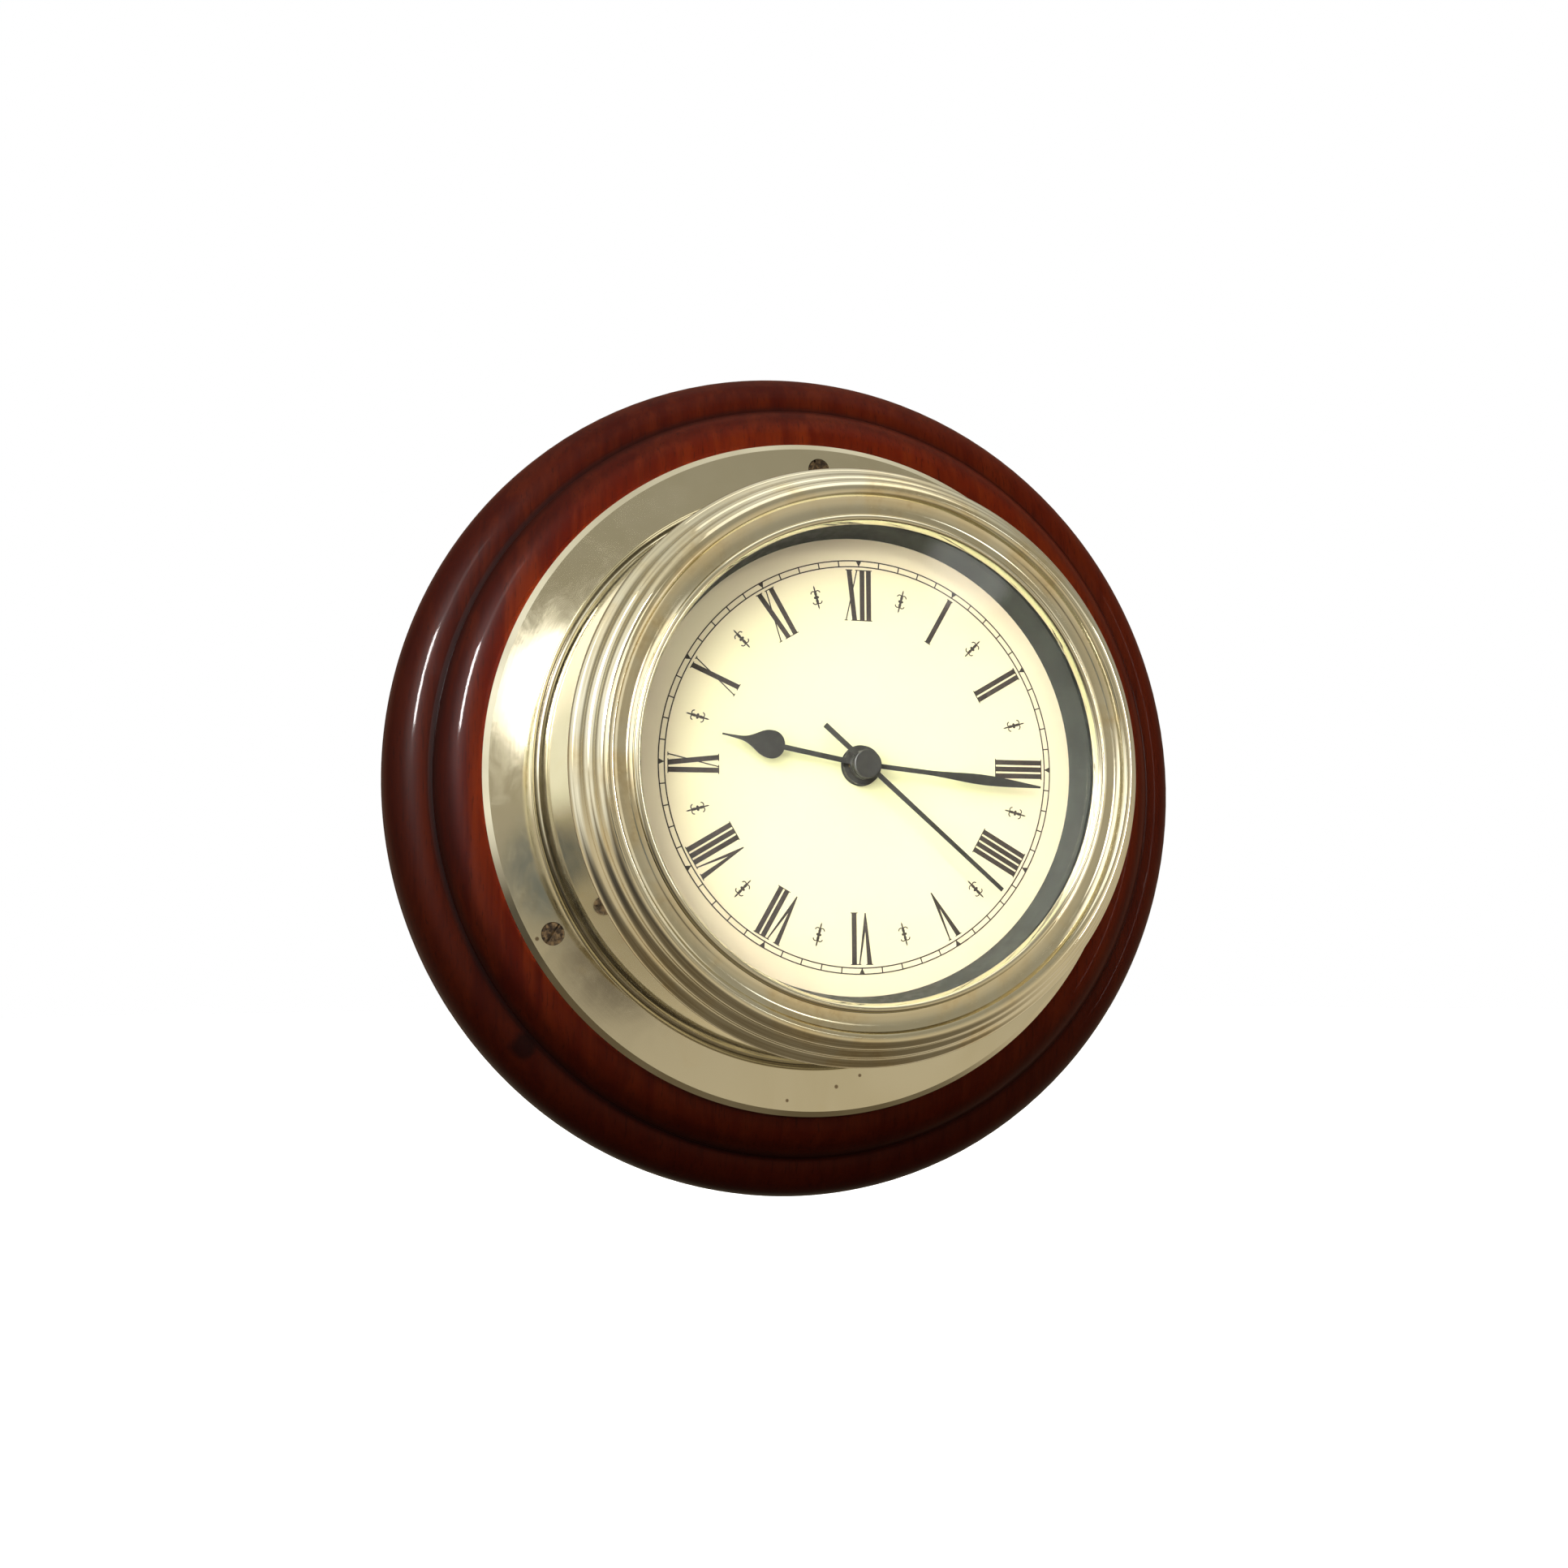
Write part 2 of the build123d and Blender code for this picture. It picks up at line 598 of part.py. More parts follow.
def make_bezel():
    """Turned brass bezel with a rim bead, a stepped side, a crest, and a spigot that pushes into the drum."""
    with BuildPart() as bezel:
        with BuildSketch(Plane.XY):
            with BuildLine():
                ThreePointArc(at_depth(BEZEL_BACK), at_depth(RIM_BEAD_MID), at_depth(RIM_BEAD_END))
                ThreePointArc(at_depth(RIM_BEAD_END), at_depth(RIM_COVE_MID), at_depth(RIM_COVE_END))
                ThreePointArc(at_depth(RIM_COVE_END), at_depth(SIDE_BEAD_MID), at_depth(SIDE_BEAD_END))
                ThreePointArc(at_depth(SIDE_BEAD_END), at_depth(SIDE_COVE_MID), at_depth(SIDE_COVE_END))
                ThreePointArc(at_depth(SIDE_COVE_END), at_depth(CREST_MID), at_depth(CREST_END))
                Line(at_depth(CREST_END), at_depth(CREST_FOOT))
                ThreePointArc(at_depth(CREST_FOOT), at_depth(BAND_MID), at_depth(BAND_END))
                Polyline(
                    at_depth(BAND_END),
                    at_depth((BAND_END[0], GLASS_SEAT_DEPTH)),
                    at_depth((GLASS_POCKET_R, GLASS_SEAT_DEPTH)),
                    at_depth((GLASS_POCKET_R, POCKET_BACK_DEPTH)),
                    at_depth(SPIGOT_ROOT),
                    at_depth((SPIGOT_INNER_R, SPIGOT_SHOULDER_DEPTH)),
                    at_depth((SPIGOT_INNER_R, SPIGOT_END_DEPTH)),
                    at_depth((SPIGOT_OUTER_R, SPIGOT_END_DEPTH)),
                    at_depth((SPIGOT_OUTER_R, SPIGOT_SHOULDER_DEPTH)),
                    at_depth(BEZEL_BACK),
                )
            make_face()
        revolve(axis=Axis.Y)
    return bezel


def make_sight_ring():
    """Thin brass ring inside the bezel, in front of the glass, with a sloping inner face."""
    front = at_depth((SIGHT_RING_FRONT_R, SIGHT_RING_FRONT_DEPTH))
    outer = at_depth((SIGHT_RING_OUTER_R, SIGHT_RING_OUTER_DEPTH))
    with BuildPart() as sight_ring:
        with BuildSketch(Plane.XY):
            with BuildLine():
                ThreePointArc(front, at_depth(SIGHT_RING_ROUND_MID), outer)
                Polyline(
                    outer,
                    at_depth((SIGHT_RING_OUTER_R, GLASS_SEAT_DEPTH)),
                    at_depth((SIGHT_RING_INNER_R, GLASS_SEAT_DEPTH)),
                    at_depth((SIGHT_RING_INNER_R, SIGHT_RING_LAND_DEPTH)),
                    front,
                )
            make_face()
        revolve(axis=Axis.Y)
    return sight_ring


def make_glass():
    """Flat round glass."""
    with BuildPart() as glass:
        with BuildSketch(plane_at(GLASS_SEAT_DEPTH)):
            Circle(GLASS_RADIUS)
        extrude(amount=-GLASS_T)
    return glass


def make_glass_gasket():
    """Rubber ring behind the glass."""
    with BuildPart() as gasket:
        with BuildSketch(plane_at(GLASS_SEAT_DEPTH + GLASS_T)):
            Circle(GLASS_RADIUS)
            Circle(GASKET_INNER_R, mode=Mode.SUBTRACT)
        extrude(amount=-GASKET_T)
    return gasket


def make_glass_retainer():
    """Split spring ring that holds the glass and gasket in the bezel."""
    with BuildPart() as retainer:
        with BuildSketch(plane_at(GLASS_SEAT_DEPTH + GLASS_T + GASKET_T)):
            Circle(GLASS_POCKET_R)
            Circle(RETAINER_INNER_R, mode=Mode.SUBTRACT)
            with Locations((0, -GLASS_POCKET_R)):
                Rectangle(RETAINER_GAP_DEG, RETAINER_GAP_DEG, mode=Mode.SUBTRACT)
        extrude(amount=-RETAINER_T)
    return retainer


def make_reveal_ring():
    """Dark cone between the dial and the glass, with a flange that presses the dial on its carrier."""
    with BuildPart() as reveal:
        with BuildSketch(Plane.XY):
            with BuildLine():
                Polyline(
                    at_depth((REVEAL_INNER_BACK_R, 0)),
                    at_depth((REVEAL_INNER_FRONT_R, REVEAL_FRONT_DEPTH)),
                    at_depth((REVEAL_INNER_FRONT_R + REVEAL_WALL, REVEAL_FRONT_DEPTH)),
                    at_depth((REVEAL_INNER_BACK_R + REVEAL_FLANGE_T, -REVEAL_FLANGE_T)),
                    at_depth((REVEAL_FLANGE_R, -REVEAL_FLANGE_T)),
                    at_depth((REVEAL_FLANGE_R, 0)),
                    close=True,
                )
            make_face()
        revolve(axis=Axis.Y)
        with BuildSketch(plane_at(0)):
            with PolarLocations(DIAL_SCREW_CIRCLE_R, SCREW_COUNT, start_angle=DIAL_SCREW_START):
                Circle(DIAL_SCREW_R)
        extrude(amount=REVEAL_FLANGE_T, mode=Mode.SUBTRACT)
    return reveal


def make_dial():
    """Cream dial plate with a centre hole and three fixing holes."""
    with BuildPart() as dial:
        with BuildSketch(plane_at(0)):
            Circle(DIAL_RADIUS)
            Circle(BUSH_R, mode=Mode.SUBTRACT)
            with PolarLocations(DIAL_SCREW_CIRCLE_R, SCREW_COUNT, start_angle=DIAL_SCREW_START):
                Circle(DIAL_SCREW_R, mode=Mode.SUBTRACT)
        extrude(amount=-DIAL_T)
    return dial


def make_dial_carrier():
    """Pressed ring fixed inside the drum, which the dial is screwed to."""
    with BuildPart() as carrier:
        with BuildSketch(Plane.XY):
            with BuildLine():
                Polyline(
                    at_depth((CARRIER_INNER_R, DIAL_T)),
                    at_depth((CARRIER_STEP_R, DIAL_T)),
                    at_depth((CARRIER_STEP_R, CARRIER_STEP_DEPTH)),
                    at_depth((DRUM_INNER_R, CARRIER_STEP_DEPTH)),
                    at_depth((DRUM_INNER_R, CARRIER_BACK_DEPTH)),
                    at_depth((DRUM_INNER_R - CARRIER_T, CARRIER_BACK_DEPTH)),
                    at_depth((DRUM_INNER_R - CARRIER_T, CARRIER_STEP_DEPTH + CARRIER_T)),
                    at_depth((CARRIER_STEP_R - CARRIER_T, CARRIER_STEP_DEPTH + CARRIER_T)),
                    at_depth((CARRIER_STEP_R - CARRIER_T, DIAL_T + CARRIER_T)),
                    at_depth((CARRIER_INNER_R, DIAL_T + CARRIER_T)),
                    close=True,
                )
            make_face()
        revolve(axis=Axis.Y)
        with BuildSketch(plane_at(DIAL_T)):
            with PolarLocations(DIAL_SCREW_CIRCLE_R, SCREW_COUNT, start_angle=DIAL_SCREW_START):
                Circle(DIAL_SCREW_R)
        extrude(amount=-CARRIER_T, mode=Mode.SUBTRACT)
    return carrier


def make_dial_screws():
    """Three small cheese-head screws through the reveal ring and dial into the carrier."""
    with BuildPart() as screws:
        with BuildSketch(plane_at(-REVEAL_FLANGE_T)):
            with PolarLocations(DIAL_SCREW_CIRCLE_R, SCREW_COUNT, start_angle=DIAL_SCREW_START):
                Circle(DIAL_SCREW_HEAD_R)
        extrude(amount=DIAL_SCREW_HEAD_T)
        with BuildSketch(plane_at(-REVEAL_FLANGE_T)):
            with PolarLocations(DIAL_SCREW_CIRCLE_R, SCREW_COUNT, start_angle=DIAL_SCREW_START):
                Circle(DIAL_SCREW_R)
        extrude(amount=-DIAL_SCREW_LENGTH)
        with BuildSketch(plane_at(-REVEAL_FLANGE_T - DIAL_SCREW_HEAD_T)):
            with PolarLocations(DIAL_SCREW_CIRCLE_R, SCREW_COUNT, start_angle=DIAL_SCREW_START):
                add(slot_across(DIAL_SCREW_HEAD_R))
        extrude(amount=-SCREW_SLOT_DEPTH, mode=Mode.SUBTRACT)
    return screws


def make_minute_track():
    """Printed minute track: two circles, a tick for every minute and a wedge at every hour."""
    half_line = TRACK_LINE_W / 2
    with BuildPart() as track:
        with BuildSketch(plane_at(0)):
            Circle(TRACK_OUTER_R + half_line)
            Circle(TRACK_OUTER_R - half_line, mode=Mode.SUBTRACT)
            with PolarLocations((TRACK_OUTER_R + TRACK_INNER_R) / 2, MINUTE_COUNT):
                Rectangle(TRACK_OUTER_R - TRACK_INNER_R + half_line, TRACK_LINE_W)
            Circle(TRACK_INNER_R + half_line)
            Circle(TRACK_INNER_R - half_line, mode=Mode.SUBTRACT)
            with PolarLocations(0, HOUR_COUNT):
                add(hour_wedge())
        extrude(amount=PRINT_T)
    return track


def hour_wedge():
    """A wedge with its base on the track's outer line and its point on the inner one."""
    with BuildSketch() as wedge:
        with BuildLine():
            Polyline(
                (TRACK_OUTER_R, HOUR_MARK_W / 2),
                (TRACK_OUTER_R, -HOUR_MARK_W / 2),
                (TRACK_INNER_R, 0),
                close=True,
            )
        make_face()
    return wedge.sketch


def polygon(*points):
    """A closed outline through some points."""
    with BuildSketch() as shape:
        with BuildLine():
            Polyline(*points, close=True)
        make_face()
    return shape.sketch


def slanted_stroke(foot_x, top_x, width):
    """A straight stroke of a numeral, cut level at its head and foot."""
    half = width / 2
    return polygon(
        (foot_x - half, NUMERAL_FOOT_R),
        (foot_x + half, NUMERAL_FOOT_R),
        (top_x + half, NUMERAL_TOP_R),
        (top_x - half, NUMERAL_TOP_R),
    )


def v_strokes(x):
    """The thick and thin strokes of a V, meeting in a point."""
    return polygon(
        (x - THICK_STROKE_W / 2, NUMERAL_TOP_R),
        (x + THICK_STROKE_W / 2, NUMERAL_TOP_R),
        (x + V_NOTCH_X, NUMERAL_FOOT_R + V_NOTCH_RISE),
        (x + V_WIDTH - THIN_STROKE_W / 2, NUMERAL_TOP_R),
        (x + V_WIDTH + THIN_STROKE_W / 2, NUMERAL_TOP_R),
        (x + V_APEX_X + THIN_STROKE_W, NUMERAL_FOOT_R),
        (x + V_APEX_X, NUMERAL_FOOT_R),
    )


def letter_places(letters):
    """Each letter with the place of its first stroke, the whole numeral centred on zero."""
    span = {"I": 0, "V": V_WIDTH, "X": X_WIDTH}
    gap = {"I": STROKE_PITCH, "V": THIN_GAP, "X": THIN_GAP}
    starts = []
    x = 0
    for letter in letters:
        starts.append(x)
        x += span[letter] + gap[letter]
    shift = (x - gap[letters[-1]]) / 2
    return [(letter, start - shift) for letter, start in zip(letters, starts)]


def serif_bar(strokes, height):
    """A serif that joins the ends of neighbouring strokes."""
    left = min(x - width / 2 for x, width in strokes) - SERIF_OVERHANG
    right = max(x + width / 2 for x, width in strokes) + SERIF_OVERHANG
    return polygon(
        (left, height - SERIF_T / 2),
        (right, height - SERIF_T / 2),
        (right, height + SERIF_T / 2),
        (left, height + SERIF_T / 2),
    )


def numeral(letters):
    """One upright Roman numeral standing between the foot and top radii."""
    heads = [[]]
    feet = [[]]
    pieces = []
    for letter, x in letter_places(letters):
        if letter == "I":
            pieces.append(slanted_stroke(x, x, THICK_STROKE_W))
            heads[-1].append((x, THICK_STROKE_W))
            feet[-1].append((x, THICK_STROKE_W))
        if letter == "V":
            pieces.append(v_strokes(x))
            heads[-1].append((x, THICK_STROKE_W))
            heads.append([(x + V_WIDTH, THIN_STROKE_W)])
            feet.append([])
        if letter == "X":
            pieces.append(slanted_stroke(x + X_THICK_LEAN, x, THICK_STROKE_W))
            pieces.append(slanted_stroke(x + X_THIN_FOOT_X, x + X_WIDTH, THIN_STROKE_W))
            heads[-1].append((x, THICK_STROKE_W))
            heads.append([(x + X_WIDTH, THIN_STROKE_W)])
            feet[-1].append((x + X_THIN_FOOT_X, THIN_STROKE_W))
            feet.append([(x + X_THICK_LEAN, THICK_STROKE_W)])
    pieces += [serif_bar(group, NUMERAL_TOP_R) for group in heads if group]
    pieces += [serif_bar(group, NUMERAL_FOOT_R) for group in feet if group]
    with BuildSketch() as shape:
        for piece in pieces:
            add(piece)
    return shape.sketch


def make_numerals():
    """Printed Roman numerals, their feet towards the centre."""
    with BuildPart() as numerals:
        with BuildSketch(plane_at(0)):
            for hour, letters in enumerate(NUMERALS):
                with Locations(Location((0, 0, 0), (0, 0, -hour * 360 / HOUR_COUNT))):
                    add(numeral(letters))
        extrude(amount=PRINT_T)
    return numerals


def ornament_arm():
    """Half a thin ring, the curl of one arm."""
    with BuildSketch() as arm:
        Circle(ORNAMENT_ARM_R + ORNAMENT_ARM_W / 2)
        Circle(ORNAMENT_ARM_R - ORNAMENT_ARM_W / 2, mode=Mode.SUBTRACT)
        with Locations((-ORNAMENT_ARM_R, 0)):
            Rectangle(2 * ORNAMENT_ARM_R, 4 * ORNAMENT_ARM_R, mode=Mode.SUBTRACT)
    return arm.sketch


def ornament():
    """A spear with a centre boss and two pairs of curled arms, lying along X."""
    outward = Location((ORNAMENT_ARM_OFFSET, 0, 0))
    straight = 2 * (ORNAMENT_HALF_LENGTH - ORNAMENT_TIP_L)
    with BuildSketch() as shape:
        Rectangle(straight, ORNAMENT_LINE_W)
        with PolarLocations(0, 2):
            add(
                polygon(
                    (straight / 2, -ORNAMENT_LINE_W / 2),
                    (ORNAMENT_HALF_LENGTH, 0),
                    (straight / 2, ORNAMENT_LINE_W / 2),
                )
            )
        Ellipse(ORNAMENT_BOSS_H / 2, ORNAMENT_BOSS_W / 2)
        with Locations((-ORNAMENT_BODY_OFFSET, 0), (ORNAMENT_BODY_OFFSET, 0)):
            Ellipse(2 * ORNAMENT_BODY_R, ORNAMENT_BODY_R)
        with PolarLocations(0, 2):
            with Locations((outward.position.X, -ORNAMENT_ARM_R), (outward.position.X, ORNAMENT_ARM_R)):
                add(ornament_arm())
    return shape.sketch


def make_half_hour_marks():
    """Printed ornaments halfway between the hours."""
    with BuildPart() as marks:
        with BuildSketch(plane_at(0)):
            with PolarLocations(ORNAMENT_R, HOUR_COUNT, start_angle=180 / HOUR_COUNT):
                add(ornament())
        extrude(amount=PRINT_T)
    return marks


def make_hub_washer():
    """Black washer on the dial's centre."""
    with BuildPart() as washer:
        with BuildSketch(plane_at(0)):
            Circle(HUB_WASHER_R)
            Circle(BUSH_R, mode=Mode.SUBTRACT)
        extrude(amount=HUB_WASHER_T)
    return washer


def make_hub_nut():
    """Round black nut with two spanner slots, which clamps the dial on the movement."""
    with BuildPart() as nut:
        with BuildSketch(plane_at(-HUB_WASHER_T)):
            Circle(HUB_NUT_R)
            Circle(BUSH_R, mode=Mode.SUBTRACT)
        extrude(amount=HUB_NUT_T)
        with BuildSketch(plane_at(-HUB_WASHER_T - HUB_NUT_T)):
            Rectangle(2 * HUB_NUT_R, HUB_NUT_SLOT_W)
        extrude(amount=-HUB_NUT_SLOT_DEPTH, mode=Mode.SUBTRACT)
    return nut


def make_rubber_washer():
    """Rubber washer between the movement and the dial."""
    with BuildPart() as washer:
        with BuildSketch(plane_at(DIAL_T)):
            Circle(RUBBER_WASHER_R)
            Circle(BUSH_R, mode=Mode.SUBTRACT)
        extrude(amount=-RUBBER_WASHER_T)
    return washer


def make_bush():
    """Threaded brass bush moulded into the movement's front plate."""
    collar_back = CASE_FRONT_DEPTH + CASE_PLATE_T
    with BuildPart() as bush:
        with BuildSketch(plane_at(collar_back)):
            Circle(BUSH_R)
        extrude(amount=collar_back - BUSH_FRONT_DEPTH)
        with BuildSketch(plane_at(collar_back)):
            Circle(BUSH_COLLAR_R)
        extrude(amount=BUSH_COLLAR_T)
        with BuildSketch(plane_at(collar_back)):
            Circle(BUSH_BORE_R)
        extrude(amount=collar_back - BUSH_FRONT_DEPTH, mode=Mode.SUBTRACT)
        outer_edge = bush.edges().filter_by(GeomType.CIRCLE).group_by(Axis.Y)[0].sort_by(SortBy.RADIUS)[-1]
        chamfer(outer_edge, SHAFT_SHOULDER)
    return bush


def case_outline():
    """The movement's outer outline."""
    with BuildSketch() as outline:
        RectangleRounded(CASE_W, CASE_W, CASE_CORNER_R)
    return outline.sketch


def case_cavity():
    """The space inside the movement's walls."""
    with BuildSketch() as cavity:
        RectangleRounded(CASE_W - 2 * CASE_WALL, CASE_W - 2 * CASE_WALL, CASE_CORNER_R - CASE_WALL)
    return cavity.sketch


def bay_wall():
    """The wall between the train and the battery bay."""
    with BuildSketch() as wall:
        with Locations((0, BAY_WALL_TOP_Z - BAY_WALL_T / 2)):
            Rectangle(CASE_W - 2 * CASE_WALL, BAY_WALL_T)
    return wall.sketch


def make_front_case():
    """Moulded front half of the movement, with posts, pivot holes and the battery bay's floor."""
    inner_face = CASE_FRONT_DEPTH + CASE_PLATE_T
    with BuildPart() as front:
        with BuildSketch(plane_at(CASE_FRONT_DEPTH)):
            add(case_outline())
        extrude(amount=CASE_FRONT_DEPTH - CASE_SPLIT_DEPTH)
        with BuildSketch(plane_at(inner_face)):
            add(case_cavity())
        extrude(amount=inner_face - CASE_SPLIT_DEPTH, mode=Mode.SUBTRACT)
        with BuildSketch(plane_at(inner_face)):
            add(bay_wall())
            with Locations(*CASE_SCREW_AT):
                Circle(CASE_POST_R)
        extrude(amount=inner_face - CASE_SPLIT_DEPTH)
        with BuildSketch(plane_at(inner_face)):
            with Locations(*PLATE_POST_AT):
                Circle(PLATE_POST_R)
        extrude(amount=inner_face - MIDDLE_PLATE_DEPTH)
        with BuildSketch(plane_at(inner_face)):
            with Locations(MINUTE_AT):
                Circle(MINUTE_PIN_R)
        extrude(amount=inner_face - MINUTE_PIN_END_DEPTH)
        with BuildSketch(plane_at(CASE_FRONT_DEPTH)):
            Circle(BUSH_R)
        extrude(amount=-CASE_PLATE_T, mode=Mode.SUBTRACT)
        with BuildSketch(plane_at(inner_face)):
            Circle(BUSH_COLLAR_R)
        extrude(amount=BUSH_COLLAR_T, mode=Mode.SUBTRACT)
        with BuildSketch(plane_at(inner_face)):
            with Locations(THIRD_AT, SETTING_AT):
                Circle(PIVOT_HOLE_R)
        extrude(amount=PIVOT_LENGTH, mode=Mode.SUBTRACT)
        with BuildSketch(plane_at(CASE_SPLIT_DEPTH)):
            with Locations(*CASE_SCREW_AT):
                Circle(CASE_SCREW_R)
        extrude(amount=CASE_SCREW_LENGTH - CASE_BACK_DEPTH + CASE_SCREW_HEAD_T + CASE_SPLIT_DEPTH, mode=Mode.SUBTRACT)
    return front


def make_rear_case():
    """Moulded rear half of the movement, open over the battery."""
    back_face = CASE_BACK_DEPTH - CASE_BACK_T
    bay_height = CASE_W / 2 + BAY_WALL_TOP_Z - BAY_WALL_T - CASE_WALL
    with BuildPart() as rear:
        with BuildSketch(plane_at(CASE_SPLIT_DEPTH)):
            add(case_outline())
        extrude(amount=CASE_SPLIT_DEPTH - CASE_BACK_DEPTH)
        with BuildSketch(plane_at(CASE_SPLIT_DEPTH)):
            add(case_cavity())
        extrude(amount=CASE_SPLIT_DEPTH - back_face, mode=Mode.SUBTRACT)
        with BuildSketch(plane_at(CASE_SPLIT_DEPTH)):
            with Locations((0, CASE_WALL - CASE_W / 2)):
                Rectangle(CASE_W - 2 * CASE_WALL, bay_height, align=(Align.CENTER, Align.MIN))
        extrude(amount=CASE_SPLIT_DEPTH - CASE_BACK_DEPTH, mode=Mode.SUBTRACT)
        with BuildSketch(plane_at(CASE_SPLIT_DEPTH)):
            add(bay_wall())
            with Locations(*CASE_SCREW_AT):
                Circle(CASE_POST_R)
        extrude(amount=CASE_SPLIT_DEPTH - back_face)
        with BuildSketch(plane_at(BOARD_DEPTH + BOARD_T)):
            with Locations(*BOARD_PEG_AT):
                Circle(BOARD_PEG_R)
        extrude(amount=BOARD_DEPTH + BOARD_T - back_face)
        with BuildSketch(plane_at(CASE_SPLIT_DEPTH)):
            with Locations(*CASE_SCREW_AT):
                Circle(CASE_SCREW_R)
        extrude(amount=CASE_SPLIT_DEPTH - CASE_BACK_DEPTH, mode=Mode.SUBTRACT)
        with BuildSketch(plane_at(CASE_BACK_DEPTH)):
            with Locations(*CASE_SCREW_AT):
                Circle(CASE_SCREW_HEAD_R)
        extrude(amount=CASE_SCREW_HEAD_T, mode=Mode.SUBTRACT)
        with BuildSketch(plane_at(CASE_BACK_DEPTH)):
            with Locations(SETTING_AT):
                Circle(SETTING_HOLE_R)
        extrude(amount=CASE_BACK_T, mode=Mode.SUBTRACT)
    return rear


def make_case_screws():
    """Three self-tapping screws that hold the movement's halves together."""
    with BuildPart() as screws:
        with BuildSketch(plane_at(CASE_BACK_DEPTH)):
            with Locations(*CASE_SCREW_AT):
                Circle(CASE_SCREW_HEAD_R)
        extrude(amount=CASE_SCREW_HEAD_T)
        with BuildSketch(plane_at(CASE_BACK_DEPTH - CASE_SCREW_HEAD_T)):
            with Locations(*CASE_SCREW_AT):
                Circle(CASE_SCREW_R)
        extrude(amount=CASE_SCREW_LENGTH)
        with BuildSketch(plane_at(CASE_BACK_DEPTH)):
            with Locations(*CASE_SCREW_AT):
                add(slot_across(CASE_SCREW_HEAD_R))
                add(slot_across(CASE_SCREW_HEAD_R, 90))
        extrude(amount=SCREW_SLOT_DEPTH, mode=Mode.SUBTRACT)
    return screws


def plate_blank():
    """The outline shared by the two train plates."""
    with BuildSketch() as blank:
        with Locations(PLATE_CENTRE):
            RectangleRounded(PLATE_W, PLATE_H, PLATE_CORNER_R)
    return blank.sketch


def make_middle_plate():
    """Moulded plate in front of the third wheel, with the posts the bridge stands on."""
    with BuildPart() as plate:
        with BuildSketch(plane_at(MIDDLE_PLATE_DEPTH)):
            add(plate_blank())
            Circle(SECONDS_ARBOR_R + PIVOT_HOLE_R - PIVOT_R, mode=Mode.SUBTRACT)
            with Locations(THIRD_AT):
                Circle(PLATE_POST_R, mode=Mode.SUBTRACT)
            with Locations(INTERMEDIATE_AT, ROTOR_AT):
                Circle(PIVOT_HOLE_R, mode=Mode.SUBTRACT)
        extrude(amount=-MIDDLE_PLATE_T)
        with BuildSketch(plane_at(MIDDLE_PLATE_DEPTH + MIDDLE_PLATE_T)):
            with Locations(*PLATE_POST_AT):
                Circle(PLATE_POST_R)
        extrude(amount=MIDDLE_PLATE_DEPTH + MIDDLE_PLATE_T - BRIDGE_DEPTH)
    return plate


def make_train_bridge():
    """Moulded rear plate that carries the rear pivots."""
    with BuildPart() as bridge:
        with BuildSketch(plane_at(BRIDGE_DEPTH)):
            add(plate_blank())
            with Locations((0, 0), THIRD_AT, INTERMEDIATE_AT, ROTOR_AT):
                Circle(PIVOT_HOLE_R, mode=Mode.SUBTRACT)
        extrude(amount=-BRIDGE_T)
    return bridge


def wheel_outline(teeth, module, bore=0.0):
    """The outline of a wheel with many teeth."""
    return gear_outline(teeth, module, WHEEL_ADDENDUM, WHEEL_TOOTH_W, bore)


def pinion_outline(teeth, module, bore=0.0):
    """The outline of a pinion with few teeth."""
    return gear_outline(teeth, module, PINION_ADDENDUM, PINION_TOOTH_W, bore)


def turned_place(place, phase):
    """A location in a front plane, turned anticlockwise."""
    return Location((place[0], place[1], 0), (0, 0, phase))


def make_hour_wheel():
    """Moulded hour wheel with the tube that carries the hour hand."""
    with BuildPart() as wheel:
        with BuildSketch(plane_at(HOUR_WHEEL_DEPTH)):
            with Locations(turned_place((0, 0), HOUR_PHASE)):
                add(wheel_outline(HOUR_TEETH, MOTION_MODULE))
        extrude(amount=-WHEEL_T)
        with BuildSketch(plane_at(HOUR_WHEEL_DEPTH)):
            Circle(HOUR_TUBE_R)
        extrude(amount=HOUR_WHEEL_DEPTH - HOUR_BOSS_DEPTH - SHAFT_SHOULDER)
        with BuildSketch(plane_at(HOUR_WHEEL_DEPTH + WHEEL_T)):
            Circle(HOUR_TUBE_BORE_R)
        extrude(amount=HOUR_WHEEL_DEPTH + WHEEL_T - HOUR_BOSS_DEPTH, mode=Mode.SUBTRACT)
    return wheel


def make_minute_wheel():
    """Moulded minute wheel and pinion of the motion work."""
    with BuildPart() as wheel:
        with BuildSketch(plane_at(MINUTE_WHEEL_DEPTH)):
            with Locations(turned_place(MINUTE_AT, MINUTE_PHASE)):
                add(wheel_outline(MINUTE_TEETH, CANNON_MODULE))
        extrude(amount=-WHEEL_T)
        with BuildSketch(plane_at(MINUTE_WHEEL_DEPTH)):
            with Locations(turned_place(MINUTE_AT, 0)):
                add(pinion_outline(MINUTE_PINION_TEETH, MOTION_MODULE))
        extrude(amount=MINUTE_WHEEL_DEPTH - MINUTE_PINION_DEPTH)
        with BuildSketch(plane_at(MINUTE_WHEEL_DEPTH + WHEEL_T)):
            with Locations(MINUTE_AT):
                Circle(MINUTE_BORE_R)
        extrude(amount=MINUTE_WHEEL_DEPTH + WHEEL_T - MINUTE_PINION_DEPTH, mode=Mode.SUBTRACT)
    return wheel


